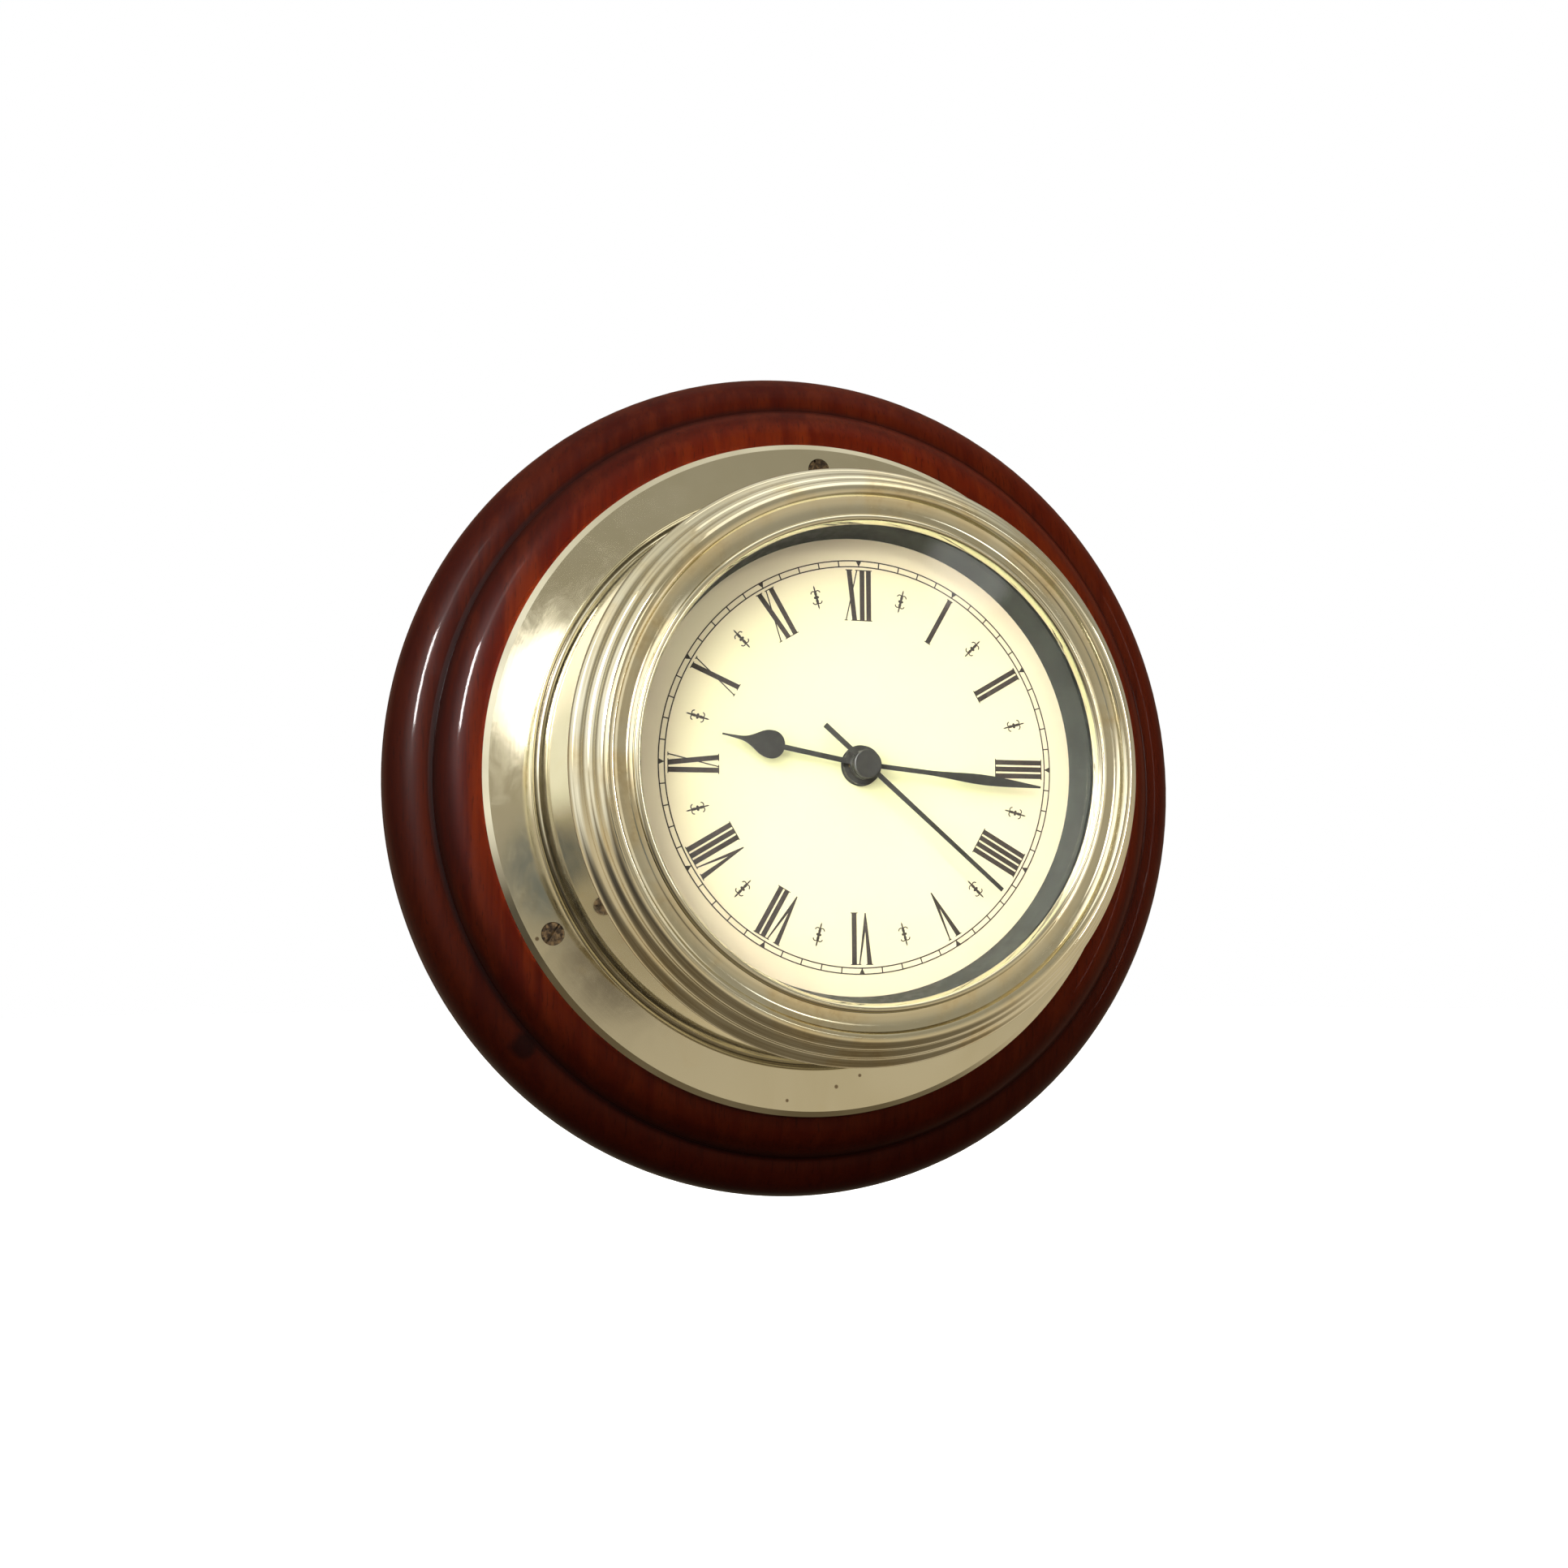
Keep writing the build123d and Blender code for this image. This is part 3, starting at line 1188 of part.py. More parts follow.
def make_cannon_pinion():
    """Brass cannon pinion that carries the minute hand."""
    with BuildPart() as cannon:
        with BuildSketch(plane_at(CANNON_BACK_DEPTH)):
            Circle(CANNON_R)
        extrude(amount=CANNON_BACK_DEPTH - MINUTE_BOSS_DEPTH - SHAFT_SHOULDER)
        with BuildSketch(plane_at(CANNON_PINION_DEPTH)):
            add(pinion_outline(CANNON_TEETH, CANNON_MODULE))
        extrude(amount=-PINION_T)
        with BuildSketch(plane_at(CANNON_BACK_DEPTH)):
            Circle(CANNON_BORE_R)
        extrude(amount=CANNON_BACK_DEPTH - MINUTE_BOSS_DEPTH, mode=Mode.SUBTRACT)
    return cannon


def make_centre_wheel():
    """Moulded centre wheel pushed on the cannon pinion."""
    with BuildPart() as wheel:
        with BuildSketch(plane_at(CENTRE_WHEEL_DEPTH)):
            add(wheel_outline(CENTRE_TEETH, CENTRE_MODULE, CANNON_R))
        extrude(amount=-WHEEL_T)
    return wheel


def make_third_wheel():
    """Moulded third wheel and pinion with its pivots."""
    bridge_end = BRIDGE_DEPTH + PIVOT_LENGTH
    with BuildPart() as wheel:
        with BuildSketch(plane_at(THIRD_WHEEL_DEPTH)):
            with Locations(turned_place(THIRD_AT, 0)):
                add(wheel_outline(THIRD_TEETH, THIRD_MODULE))
        extrude(amount=-THIN_WHEEL_T)
        with BuildSketch(plane_at(THIRD_PINION_DEPTH)):
            with Locations(turned_place(THIRD_AT, THIRD_PINION_PHASE)):
                add(pinion_outline(THIRD_PINION_TEETH, CENTRE_MODULE))
        extrude(amount=THIRD_PINION_DEPTH - THIRD_WHEEL_DEPTH)
        with BuildSketch(plane_at(THIRD_WHEEL_DEPTH)):
            with Locations(THIRD_AT):
                Circle(THIN_ARBOR_R)
        extrude(amount=THIRD_WHEEL_DEPTH - BRIDGE_DEPTH + SHAFT_SHOULDER)
        with BuildSketch(plane_at(bridge_end)):
            with Locations(THIRD_AT):
                Circle(PIVOT_R)
        extrude(amount=bridge_end - CASE_FRONT_DEPTH - CASE_PLATE_T + PIVOT_LENGTH - SHAFT_SHOULDER)
    return wheel


def make_seconds_wheel():
    """Moulded seconds wheel and pinion, pushed on a steel arbor."""
    with BuildPart() as wheel:
        with BuildSketch(plane_at(SECONDS_WHEEL_DEPTH)):
            add(wheel_outline(SECONDS_TEETH, SECONDS_MODULE))
        extrude(amount=-THIN_WHEEL_T)
        with BuildSketch(plane_at(SECONDS_WHEEL_DEPTH)):
            Circle(SECONDS_HUB_R)
        extrude(amount=SECONDS_WHEEL_DEPTH - SECONDS_PINION_DEPTH - PINION_T)
        with BuildSketch(plane_at(SECONDS_PINION_DEPTH)):
            with Locations(turned_place((0, 0), SECONDS_PINION_PHASE)):
                add(pinion_outline(SECONDS_PINION_TEETH, THIRD_MODULE))
        extrude(amount=-PINION_T)
        with BuildSketch(plane_at(SECONDS_PINION_DEPTH)):
            Circle(SECONDS_ARBOR_R)
        extrude(amount=SECONDS_PINION_DEPTH - SECONDS_WHEEL_DEPTH - THIN_WHEEL_T, mode=Mode.SUBTRACT)
    return wheel


def make_seconds_arbor():
    """Steel arbor that runs through the cannon pinion to the second hand."""
    bridge_end = BRIDGE_DEPTH + PIVOT_LENGTH
    with BuildPart() as arbor:
        with BuildSketch(plane_at(BRIDGE_DEPTH - SHAFT_SHOULDER)):
            Circle(SECONDS_ARBOR_R)
        extrude(amount=BRIDGE_DEPTH - SHAFT_SHOULDER - SECOND_BLADE_DEPTH)
        with BuildSketch(plane_at(bridge_end)):
            Circle(PIVOT_R)
        extrude(amount=PIVOT_LENGTH + SHAFT_SHOULDER)
    return arbor


def make_intermediate_wheel():
    """Moulded intermediate wheel and pinion with its pivots."""
    bridge_end = BRIDGE_DEPTH + PIVOT_LENGTH
    with BuildPart() as wheel:
        with BuildSketch(plane_at(INTERMEDIATE_WHEEL_DEPTH)):
            with Locations(turned_place(INTERMEDIATE_AT, 0)):
                add(wheel_outline(INTERMEDIATE_TEETH, INTERMEDIATE_MODULE))
        extrude(amount=-THIN_WHEEL_T)
        with BuildSketch(plane_at(INTERMEDIATE_WHEEL_DEPTH)):
            with Locations(turned_place(INTERMEDIATE_AT, INTERMEDIATE_PINION_PHASE)):
                add(pinion_outline(INTERMEDIATE_PINION_TEETH, SECONDS_MODULE))
        extrude(amount=INTERMEDIATE_WHEEL_DEPTH - INTERMEDIATE_PINION_DEPTH)
        with BuildSketch(plane_at(INTERMEDIATE_PINION_DEPTH)):
            with Locations(INTERMEDIATE_AT):
                Circle(THIN_ARBOR_R)
        extrude(amount=INTERMEDIATE_PINION_DEPTH - MIDDLE_PLATE_DEPTH - MIDDLE_PLATE_T - SHAFT_SHOULDER)
        with BuildSketch(plane_at(bridge_end)):
            with Locations(INTERMEDIATE_AT):
                Circle(PIVOT_R)
        extrude(amount=bridge_end - MIDDLE_PLATE_DEPTH)
    return wheel


def make_rotor_magnet():
    """Disc magnet of the stepping motor."""
    with BuildPart() as magnet:
        with BuildSketch(plane_at(MAGNET_DEPTH)):
            with Locations(ROTOR_AT):
                Circle(MAGNET_R)
                Circle(THIN_ARBOR_R, mode=Mode.SUBTRACT)
        extrude(amount=-MAGNET_T)
    return magnet


def make_rotor_pinion():
    """Moulded rotor shaft with its pinion and pivots."""
    bridge_end = BRIDGE_DEPTH + PIVOT_LENGTH
    with BuildPart() as pinion:
        with BuildSketch(plane_at(ROTOR_PINION_DEPTH)):
            with Locations(turned_place(ROTOR_AT, ROTOR_PHASE)):
                add(pinion_outline(ROTOR_TEETH, INTERMEDIATE_MODULE))
        extrude(amount=-PINION_T)
        with BuildSketch(plane_at(ROTOR_PINION_DEPTH)):
            with Locations(ROTOR_AT):
                Circle(THIN_ARBOR_R)
        extrude(amount=ROTOR_PINION_DEPTH - MAGNET_DEPTH)
        with BuildSketch(plane_at(bridge_end)):
            with Locations(ROTOR_AT):
                Circle(PIVOT_R)
        extrude(amount=bridge_end - MIDDLE_PLATE_DEPTH)
    return pinion


def make_setting_knob():
    """Moulded pinion, shaft and fluted knob that set the hands from the back."""
    front_end = CASE_FRONT_DEPTH + CASE_PLATE_T - PIVOT_LENGTH + SHAFT_SHOULDER
    with BuildPart() as knob:
        with BuildSketch(plane_at(MINUTE_WHEEL_DEPTH)):
            with Locations(turned_place(SETTING_AT, SETTING_PHASE)):
                add(pinion_outline(SETTING_TEETH, CANNON_MODULE))
        extrude(amount=-PINION_T)
        with BuildSketch(plane_at(MINUTE_WHEEL_DEPTH)):
            with Locations(SETTING_AT):
                Circle(PIVOT_R)
        extrude(amount=MINUTE_WHEEL_DEPTH - front_end)
        with BuildSketch(plane_at(MINUTE_WHEEL_DEPTH + PINION_T)):
            with Locations(SETTING_AT):
                Circle(SETTING_SHAFT_R)
        extrude(amount=MINUTE_WHEEL_DEPTH + PINION_T - KNOB_DEPTH)
        with BuildSketch(plane_at(KNOB_DEPTH)):
            with Locations(SETTING_AT):
                Circle(KNOB_R)
                with PolarLocations(KNOB_R, KNOB_FLUTES):
                    Circle(KNOB_FLUTE_R, mode=Mode.SUBTRACT)
        extrude(amount=-KNOB_T)
        chamfer(knob.faces().sort_by(Axis.Y)[-1].edges(), SHAFT_SHOULDER)
    return knob


def make_stator():
    """Stator plate: a bar with the rotor's hole and two arms that reach the coil's core."""
    low_z = PLATE_POST_AT[0][1]
    high_z = PLATE_POST_AT[2][1]
    arm_length = STATOR_RIGHT_X - STATOR_ARM_END_X
    with BuildPart() as stator:
        with BuildSketch(plane_at(STATOR_DEPTH)):
            with Locations(((STATOR_LEFT_X + STATOR_RIGHT_X) / 2, (low_z + high_z) / 2)):
                Rectangle(STATOR_RIGHT_X - STATOR_LEFT_X, high_z - low_z + STATOR_ARM_W)
            with Locations((STATOR_ARM_END_X, low_z), (STATOR_ARM_END_X, high_z)):
                Rectangle(arm_length, STATOR_ARM_W, align=(Align.MIN, Align.CENTER))
            with Locations(PLATE_POST_AT[0], PLATE_POST_AT[2]):
                Circle(SETTING_HOLE_R, mode=Mode.SUBTRACT)
            with Locations(ROTOR_AT):
                Circle(STATOR_HOLE_R, mode=Mode.SUBTRACT)
        extrude(amount=-STATOR_T)
    return stator


def make_coil_core():
    """Soft iron bar through the bobbin, laid on the stator's arms."""
    low_z = PLATE_POST_AT[0][1] - STATOR_ARM_W / 2
    high_z = PLATE_POST_AT[2][1] + STATOR_ARM_W / 2
    with BuildPart() as core:
        with BuildSketch(plane_at(STATOR_DEPTH + STATOR_T)):
            with Locations((CORE_X, (low_z + high_z) / 2)):
                Rectangle(CORE_W, high_z - low_z)
        extrude(amount=-CORE_T)
    return core


def make_bobbin():
    """Plastic bobbin for the coil."""
    centre = (CORE_X, DIAL_Y + STATOR_DEPTH + STATOR_T + CORE_T / 2)
    with BuildPart() as bobbin:
        with BuildSketch(Plane.XY.offset(BOBBIN_LOW_Z)):
            with Locations(centre):
                Circle(BOBBIN_TUBE_R)
        extrude(amount=BOBBIN_HIGH_Z - BOBBIN_LOW_Z)
        with BuildSketch(Plane.XY.offset(BOBBIN_LOW_Z), Plane.XY.offset(BOBBIN_HIGH_Z - BOBBIN_FLANGE_T)):
            with Locations(centre):
                Circle(BOBBIN_FLANGE_R)
        extrude(amount=BOBBIN_FLANGE_T)
        with BuildSketch(Plane.XY.offset(BOBBIN_LOW_Z)):
            with Locations(centre):
                Rectangle(CORE_W, CORE_T)
        extrude(amount=BOBBIN_HIGH_Z - BOBBIN_LOW_Z, mode=Mode.SUBTRACT)
    return bobbin


def make_coil():
    """Copper winding on the bobbin."""
    with BuildPart() as coil:
        with BuildSketch(Plane.XY.offset(BOBBIN_LOW_Z + BOBBIN_FLANGE_T)):
            with Locations((CORE_X, DIAL_Y + STATOR_DEPTH + STATOR_T + CORE_T / 2)):
                Circle(COIL_R)
                Circle(BOBBIN_TUBE_R, mode=Mode.SUBTRACT)
        extrude(amount=BOBBIN_HIGH_Z - BOBBIN_LOW_Z - 2 * BOBBIN_FLANGE_T)
    return coil


def make_circuit_board():
    """Circuit board on two pegs of the rear case."""
    with BuildPart() as board:
        with BuildSketch(plane_at(BOARD_DEPTH)):
            with Locations(BOARD_CENTRE):
                Rectangle(BOARD_W, BOARD_H)
        extrude(amount=-BOARD_T)
    return board


def make_chip():
    """Potted chip on the board's rear."""
    with BuildPart() as chip:
        with BuildSketch(plane_at(BOARD_DEPTH + BOARD_T)):
            with Locations(CHIP_AT):
                Circle(CHIP_R)
        extrude(amount=-CHIP_T)
        fillet(chip.faces().sort_by(Axis.Y)[-1].edges(), CHIP_T / 2)
    return chip


def make_crystal():
    """Quartz crystal in a small can, lying on the board's front."""
    with BuildPart() as crystal:
        with BuildSketch(Plane.YZ.offset(CRYSTAL_AT[0] - CRYSTAL_LENGTH / 2)):
            with Locations((DIAL_Y + BOARD_DEPTH - CRYSTAL_R, CRYSTAL_AT[1])):
                Circle(CRYSTAL_R)
        extrude(amount=CRYSTAL_LENGTH)
        fillet(crystal.faces().sort_by(Axis.X)[-1].edges(), CRYSTAL_R / 4)
    return crystal


def battery_section():
    """A plane across the battery's axis with its centre on it, at X = 0."""
    return Plane(origin=(0, DIAL_Y + BATTERY_DEPTH, BATTERY_Z), x_dir=(0, 1, 0), z_dir=(1, 0, 0))


def make_battery_can():
    """Battery can with its positive nub."""
    with BuildPart() as can:
        with BuildSketch(battery_section().offset(BATTERY_LEFT_X)):
            Circle(BATTERY_CAN_R)
        extrude(amount=BATTERY_RIGHT_X - BATTERY_LEFT_X)
        with BuildSketch(battery_section().offset(BATTERY_RIGHT_X)):
            Circle(BATTERY_NUB_R)
        extrude(amount=BATTERY_NUB_T)
    return can


def make_battery_sleeve():
    """Plain printed sleeve around the battery can."""
    with BuildPart() as sleeve:
        with BuildSketch(battery_section().offset(BATTERY_LEFT_X + SLEEVE_MARGIN)):
            Circle(BATTERY_R)
            Circle(BATTERY_CAN_R, mode=Mode.SUBTRACT)
        extrude(amount=BATTERY_RIGHT_X - BATTERY_LEFT_X - 2 * SLEEVE_MARGIN)
    return sleeve


def make_positive_contact():
    """Flat contact at the battery's nub."""
    with BuildPart() as contact:
        with BuildSketch(battery_section().offset(CONTACT_X)):
            Rectangle(CONTACT_W, CONTACT_H)
        extrude(amount=-CONTACT_T)
    return contact


def make_negative_contact():
    """Flat contact with a short spring at the battery's other end."""
    start_x = CONTACT_T - CONTACT_X + SPRING_WIRE_R / 2
    with BuildPart() as contact:
        with BuildSketch(battery_section().offset(-CONTACT_X)):
            Rectangle(CONTACT_W, CONTACT_H)
        extrude(amount=CONTACT_T)
        with BuildLine():
            path = Helix(
                SPRING_PITCH,
                SPRING_LENGTH,
                SPRING_R,
                center=(start_x, DIAL_Y + BATTERY_DEPTH, BATTERY_Z),
                direction=(1, 0, 0),
            )
        with BuildSketch(Plane(origin=path @ 0, z_dir=path % 0)):
            Circle(SPRING_WIRE_R)
        sweep(path=path, is_frenet=True)
    return contact


def make_hour_hand():
    """Black hour hand: a slim stem, a pear-shaped bulb and a thin tip."""
    with BuildPart() as hand:
        with BuildSketch(plane_at(HOUR_BLADE_DEPTH)):
            with Locations(turned_place((0, 0), 90 - HOUR_ANGLE)):
                add(hour_blade())
        extrude(amount=-HAND_BLADE_T)
        with BuildSketch(plane_at(HOUR_BOSS_DEPTH)):
            Circle(HAND_BOSS_R)
        extrude(amount=-HOUR_BOSS_T)
        with BuildSketch(plane_at(HOUR_BOSS_DEPTH)):
            Circle(HOUR_TUBE_R)
        extrude(amount=-HOUR_BOSS_T, mode=Mode.SUBTRACT)
    return hand


def hour_blade():
    """The hour hand's outline, lying along X."""
    half_stem = HOUR_STEM_W / 2
    with BuildSketch() as blade:
        with BuildLine():
            Polyline((0, 0), (0, half_stem), (HOUR_BULB_START, half_stem))
            ThreePointArc(
                (HOUR_BULB_START, half_stem),
                HOUR_BULB_BACK_MID,
                (HOUR_BULB_CENTRE, HOUR_BULB_HALF_W),
            )
            Spline(
                (HOUR_BULB_CENTRE, HOUR_BULB_HALF_W),
                HOUR_SHOULDER,
                (HOUR_BULB_NECK, HOUR_NECK_HALF_W),
                HOUR_TIP_MID,
                (HOUR_TIP, HOUR_TIP_HALF_W),
                tangents=((1, 0), (1, 0)),
            )
            Line((HOUR_TIP, HOUR_TIP_HALF_W), (HOUR_TIP, 0))
            mirror(about=Plane.XZ)
        make_face()
    return blade.sketch


def make_minute_hand():
    """Black minute hand: a slim stem that swells and then tapers to its tip."""
    with BuildPart() as hand:
        with BuildSketch(plane_at(MINUTE_BLADE_DEPTH)):
            with Locations(turned_place((0, 0), 90 - MINUTE_ANGLE)):
                add(minute_blade())
        extrude(amount=-HAND_BLADE_T)
        with BuildSketch(plane_at(MINUTE_BOSS_DEPTH)):
            Circle(MINUTE_BOSS_R)
        extrude(amount=-MINUTE_BOSS_T)
        with BuildSketch(plane_at(MINUTE_BOSS_DEPTH)):
            Circle(CANNON_R)
        extrude(amount=-MINUTE_BOSS_T, mode=Mode.SUBTRACT)
    return hand


def minute_blade():
    """The minute hand's outline, lying along X."""
    with BuildSketch() as blade:
        with BuildLine():
            Polyline((0, 0), (0, MINUTE_STEM_HALF_W), (MINUTE_SWELL_START, MINUTE_STEM_HALF_W))
            Spline(
                (MINUTE_SWELL_START, MINUTE_STEM_HALF_W),
                (MINUTE_SWELL_AT, MINUTE_SWELL_HALF_W),
                (MINUTE_TIP, MINUTE_TIP_HALF_W),
                tangents=((1, 0), MINUTE_TIP_TANGENT),
            )
            Line((MINUTE_TIP, MINUTE_TIP_HALF_W), (MINUTE_TIP, 0))
            mirror(about=Plane.XZ)
        make_face()
    return blade.sketch


def make_second_hand():
    """Black centre second hand with a blunt tail and a round cap."""
    with BuildPart() as hand:
        with BuildSketch(plane_at(SECOND_BLADE_DEPTH)):
            with Locations(turned_place((0, 0), 90 - SECOND_ANGLE)):
                add(second_blade())
        extrude(amount=-HAND_BLADE_T)
        with BuildSketch(plane_at(SECOND_CAP_DEPTH)):
            Circle(SECOND_CAP_R)
        extrude(amount=-SECOND_CAP_T)
        fillet(hand.edges().filter_by(GeomType.CIRCLE).sort_by(Axis.Y)[0], SECOND_CAP_ROUND)
        with BuildSketch(plane_at(SECOND_CAP_DEPTH + SECOND_CAP_T)):
            Circle(SECONDS_ARBOR_R)
        extrude(amount=SECOND_CAP_DEPTH + SECOND_CAP_T - SECOND_BLADE_DEPTH, mode=Mode.SUBTRACT)
    return hand


def second_blade():
    """The second hand's outline, lying along X."""
    return polygon(
        (-SECOND_TAIL, -SECOND_TAIL_HALF_W),
        (SECOND_TIP, -SECOND_HALF_W),
        (SECOND_TIP, SECOND_HALF_W),
        (-SECOND_TAIL, SECOND_TAIL_HALF_W),
    )


PARTS = {
    "plinth": make_plinth,
    "hanger_plate": make_hanger_plate,
    "hanger_screws": make_hanger_screws,
    "case_body": make_case_body,
    "flange_screws": make_flange_screws,
    "bezel": make_bezel,
    "sight_ring": make_sight_ring,
    "glass": make_glass,
    "glass_gasket": make_glass_gasket,
    "glass_retainer": make_glass_retainer,
    "reveal_ring": make_reveal_ring,
    "dial": make_dial,
    "dial_carrier": make_dial_carrier,
    "dial_screws": make_dial_screws,
    "minute_track": make_minute_track,
    "numerals": make_numerals,
    "half_hour_marks": make_half_hour_marks,
    "hub_washer": make_hub_washer,
    "hub_nut": make_hub_nut,
    "rubber_washer": make_rubber_washer,
    "bush": make_bush,
    "front_case": make_front_case,
    "rear_case": make_rear_case,
    "case_screws": make_case_screws,
    "middle_plate": make_middle_plate,
    "train_bridge": make_train_bridge,
    "hour_wheel": make_hour_wheel,
    "minute_wheel": make_minute_wheel,
    "cannon_pinion": make_cannon_pinion,
    "centre_wheel": make_centre_wheel,
    "third_wheel": make_third_wheel,
    "seconds_wheel": make_seconds_wheel,
    "seconds_arbor": make_seconds_arbor,
    "intermediate_wheel": make_intermediate_wheel,
    "rotor_magnet": make_rotor_magnet,
    "rotor_pinion": make_rotor_pinion,
    "setting_knob": make_setting_knob,
    "stator": make_stator,
    "coil_core": make_coil_core,
    "bobbin": make_bobbin,
    "coil": make_coil,
    "circuit_board": make_circuit_board,
    "chip": make_chip,
    "crystal": make_crystal,
    "battery_can": make_battery_can,
    "battery_sleeve": make_battery_sleeve,
    "positive_contact": make_positive_contact,
    "negative_contact": make_negative_contact,
    "hour_hand": make_hour_hand,
    "minute_hand": make_minute_hand,
    "second_hand": make_second_hand,
}

os.makedirs("parts", exist_ok=True)
for name, make in PARTS.items():
    piece = make()
    piece.part.label = name
    export_step(piece.part, f"parts/{name}.step")
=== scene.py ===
import math

import bmesh
import bpy
from mathutils import Matrix, Vector


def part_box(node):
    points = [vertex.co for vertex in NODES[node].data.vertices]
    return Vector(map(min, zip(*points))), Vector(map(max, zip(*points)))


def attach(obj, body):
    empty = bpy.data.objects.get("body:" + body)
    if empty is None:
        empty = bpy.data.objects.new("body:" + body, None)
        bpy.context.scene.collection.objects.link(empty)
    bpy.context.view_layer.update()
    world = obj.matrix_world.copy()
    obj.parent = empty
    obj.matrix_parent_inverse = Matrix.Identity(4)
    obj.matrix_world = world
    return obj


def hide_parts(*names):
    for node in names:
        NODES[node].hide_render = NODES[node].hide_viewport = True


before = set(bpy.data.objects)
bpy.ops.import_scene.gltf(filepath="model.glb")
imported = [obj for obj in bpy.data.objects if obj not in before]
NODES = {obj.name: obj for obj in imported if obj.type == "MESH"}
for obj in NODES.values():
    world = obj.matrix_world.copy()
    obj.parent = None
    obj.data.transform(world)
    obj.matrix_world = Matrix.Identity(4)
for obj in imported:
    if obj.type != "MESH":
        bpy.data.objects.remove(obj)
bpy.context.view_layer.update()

DIAL_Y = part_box("dial")[0].y


# ---------------------------------------------------------------- node tools
class Shader:
    """A material built from nodes, around one Principled shader."""

    def __init__(self, name, **sockets):
        self.material = bpy.data.materials.new(name)
        self.material.use_nodes = True
        self.tree = self.material.node_tree
        self.bsdf = self.tree.nodes["Principled BSDF"]
        self.place = self.tree.nodes.new("ShaderNodeTexCoord").outputs["Object"]
        self.normal = None
        self.set(**sockets)

    def set(self, **sockets):
        """Sets or links sockets of the Principled shader, named with _ for a space."""
        for name, value in sockets.items():
            self.feed(self.bsdf.inputs[name.replace("_", " ").title().replace("Ior", "IOR")], value)

    def feed(self, socket, value):
        if isinstance(value, bpy.types.NodeSocket):
            self.tree.links.new(value, socket)
        elif isinstance(value, (tuple, list)) and len(value) == 3 and socket.type == "RGBA":
            socket.default_value = (*value, 1)
        else:
            socket.default_value = value

    def maths(self, operation, a, b=0.0):
        node = self.tree.nodes.new("ShaderNodeMath")
        node.operation = operation
        for socket, value in zip(node.inputs, (a, b)):
            self.feed(socket, value)
        return node.outputs[0]

    def span(self, value, low, high, to_low=0.0, to_high=1.0):
        """Smoothly carries value from low..high to to_low..to_high."""
        node = self.tree.nodes.new("ShaderNodeMapRange")
        node.interpolation_type = "SMOOTHSTEP"
        sockets = ("Value", "From Min", "From Max", "To Min", "To Max")
        for name, v in zip(sockets, (value, low, high, to_low, to_high)):
            self.feed(node.inputs[name], v)
        return node.outputs["Result"]

    def stretched(self, x, y, z):
        """Coordinates scaled along each axis. A scale under 1 draws a pattern out along it."""
        node = self.tree.nodes.new("ShaderNodeMapping")
        self.feed(node.inputs["Vector"], self.place)
        node.inputs["Scale"].default_value = (x, y, z)
        return node.outputs[0]

    def noise(self, scale, detail=2.0, rough=0.5, place=None, bend=0.0):
        """Noise from 0 to 1. Scale is in cycles per metre."""
        node = self.tree.nodes.new("ShaderNodeTexNoise")
        self.feed(node.inputs["Vector"], place or self.place)
        for name, v in (("Scale", scale), ("Detail", detail), ("Roughness", rough), ("Distortion", bend)):
            node.inputs[name].default_value = v
        return node.outputs[0]

    def cells(self, scale):
        """Distance from the nearest point of a scattered set."""
        node = self.tree.nodes.new("ShaderNodeTexVoronoi")
        self.feed(node.inputs["Vector"], self.place)
        node.inputs["Scale"].default_value = scale
        return node.outputs["Distance"]

    def blend(self, share, a, b):
        """Colour a where share is 0, colour b where it is 1."""
        node = self.tree.nodes.new("ShaderNodeMix")
        node.data_type = "RGBA"
        self.feed(node.inputs[0], share)
        self.feed(node.inputs[6], a)
        self.feed(node.inputs[7], b)
        return node.outputs[2]

    def parts(self):
        """The x, y and z coordinates."""
        node = self.tree.nodes.new("ShaderNodeSeparateXYZ")
        self.feed(node.inputs[0], self.place)
        return node.outputs

    def radius(self):
        """Distance from the clock's axis."""
        x, y, z = self.parts()
        squares = self.maths("ADD", self.maths("MULTIPLY", x, x), self.maths("MULTIPLY", z, z))
        return self.maths("SQRT", squares)

    def ring_place(self, around):
        """Coordinates that run round the clock's axis: angle, radius and depth."""
        x, y, z = self.parts()
        angle = self.maths("ARCTAN2", x, z)
        joined = self.tree.nodes.new("ShaderNodeCombineXYZ")
        self.feed(joined.inputs[0], self.maths("MULTIPLY", angle, around))
        self.feed(joined.inputs[1], self.radius())
        self.feed(joined.inputs[2], y)
        return joined.outputs[0]

    def near(self, point):
        """Distance from a point, in metres."""
        node = self.tree.nodes.new("ShaderNodeVectorMath")
        node.operation = "DISTANCE"
        self.feed(node.inputs[0], self.place)
        node.inputs[1].default_value = point
        return node.outputs["Value"]

    def bump(self, height, strength, distance):
        """Adds to the surface's bump. Distance is in metres."""
        node = self.tree.nodes.new("ShaderNodeBump")
        node.inputs["Strength"].default_value = strength
        node.inputs["Distance"].default_value = distance
        self.feed(node.inputs["Height"], height)
        if self.normal is not None:
            self.feed(node.inputs["Normal"], self.normal)
        self.normal = node.outputs[0]
        self.set(normal=self.normal)


def dress(material, *nodes):
    """Gives CAD nodes a material in place of the plain one."""
    for name in nodes:
        for slot in NODES[name].material_slots:
            slot.material = material


def on_dial(clock_angle, radius, y=DIAL_Y):
    """A point at a clock angle in degrees and a radius in metres."""
    a = math.radians(clock_angle)
    return (radius * math.sin(a), y, radius * math.cos(a))


# ---------------------------------------------------------------- turned pieces
SIDES, HOLE_SIDES = 288, 48
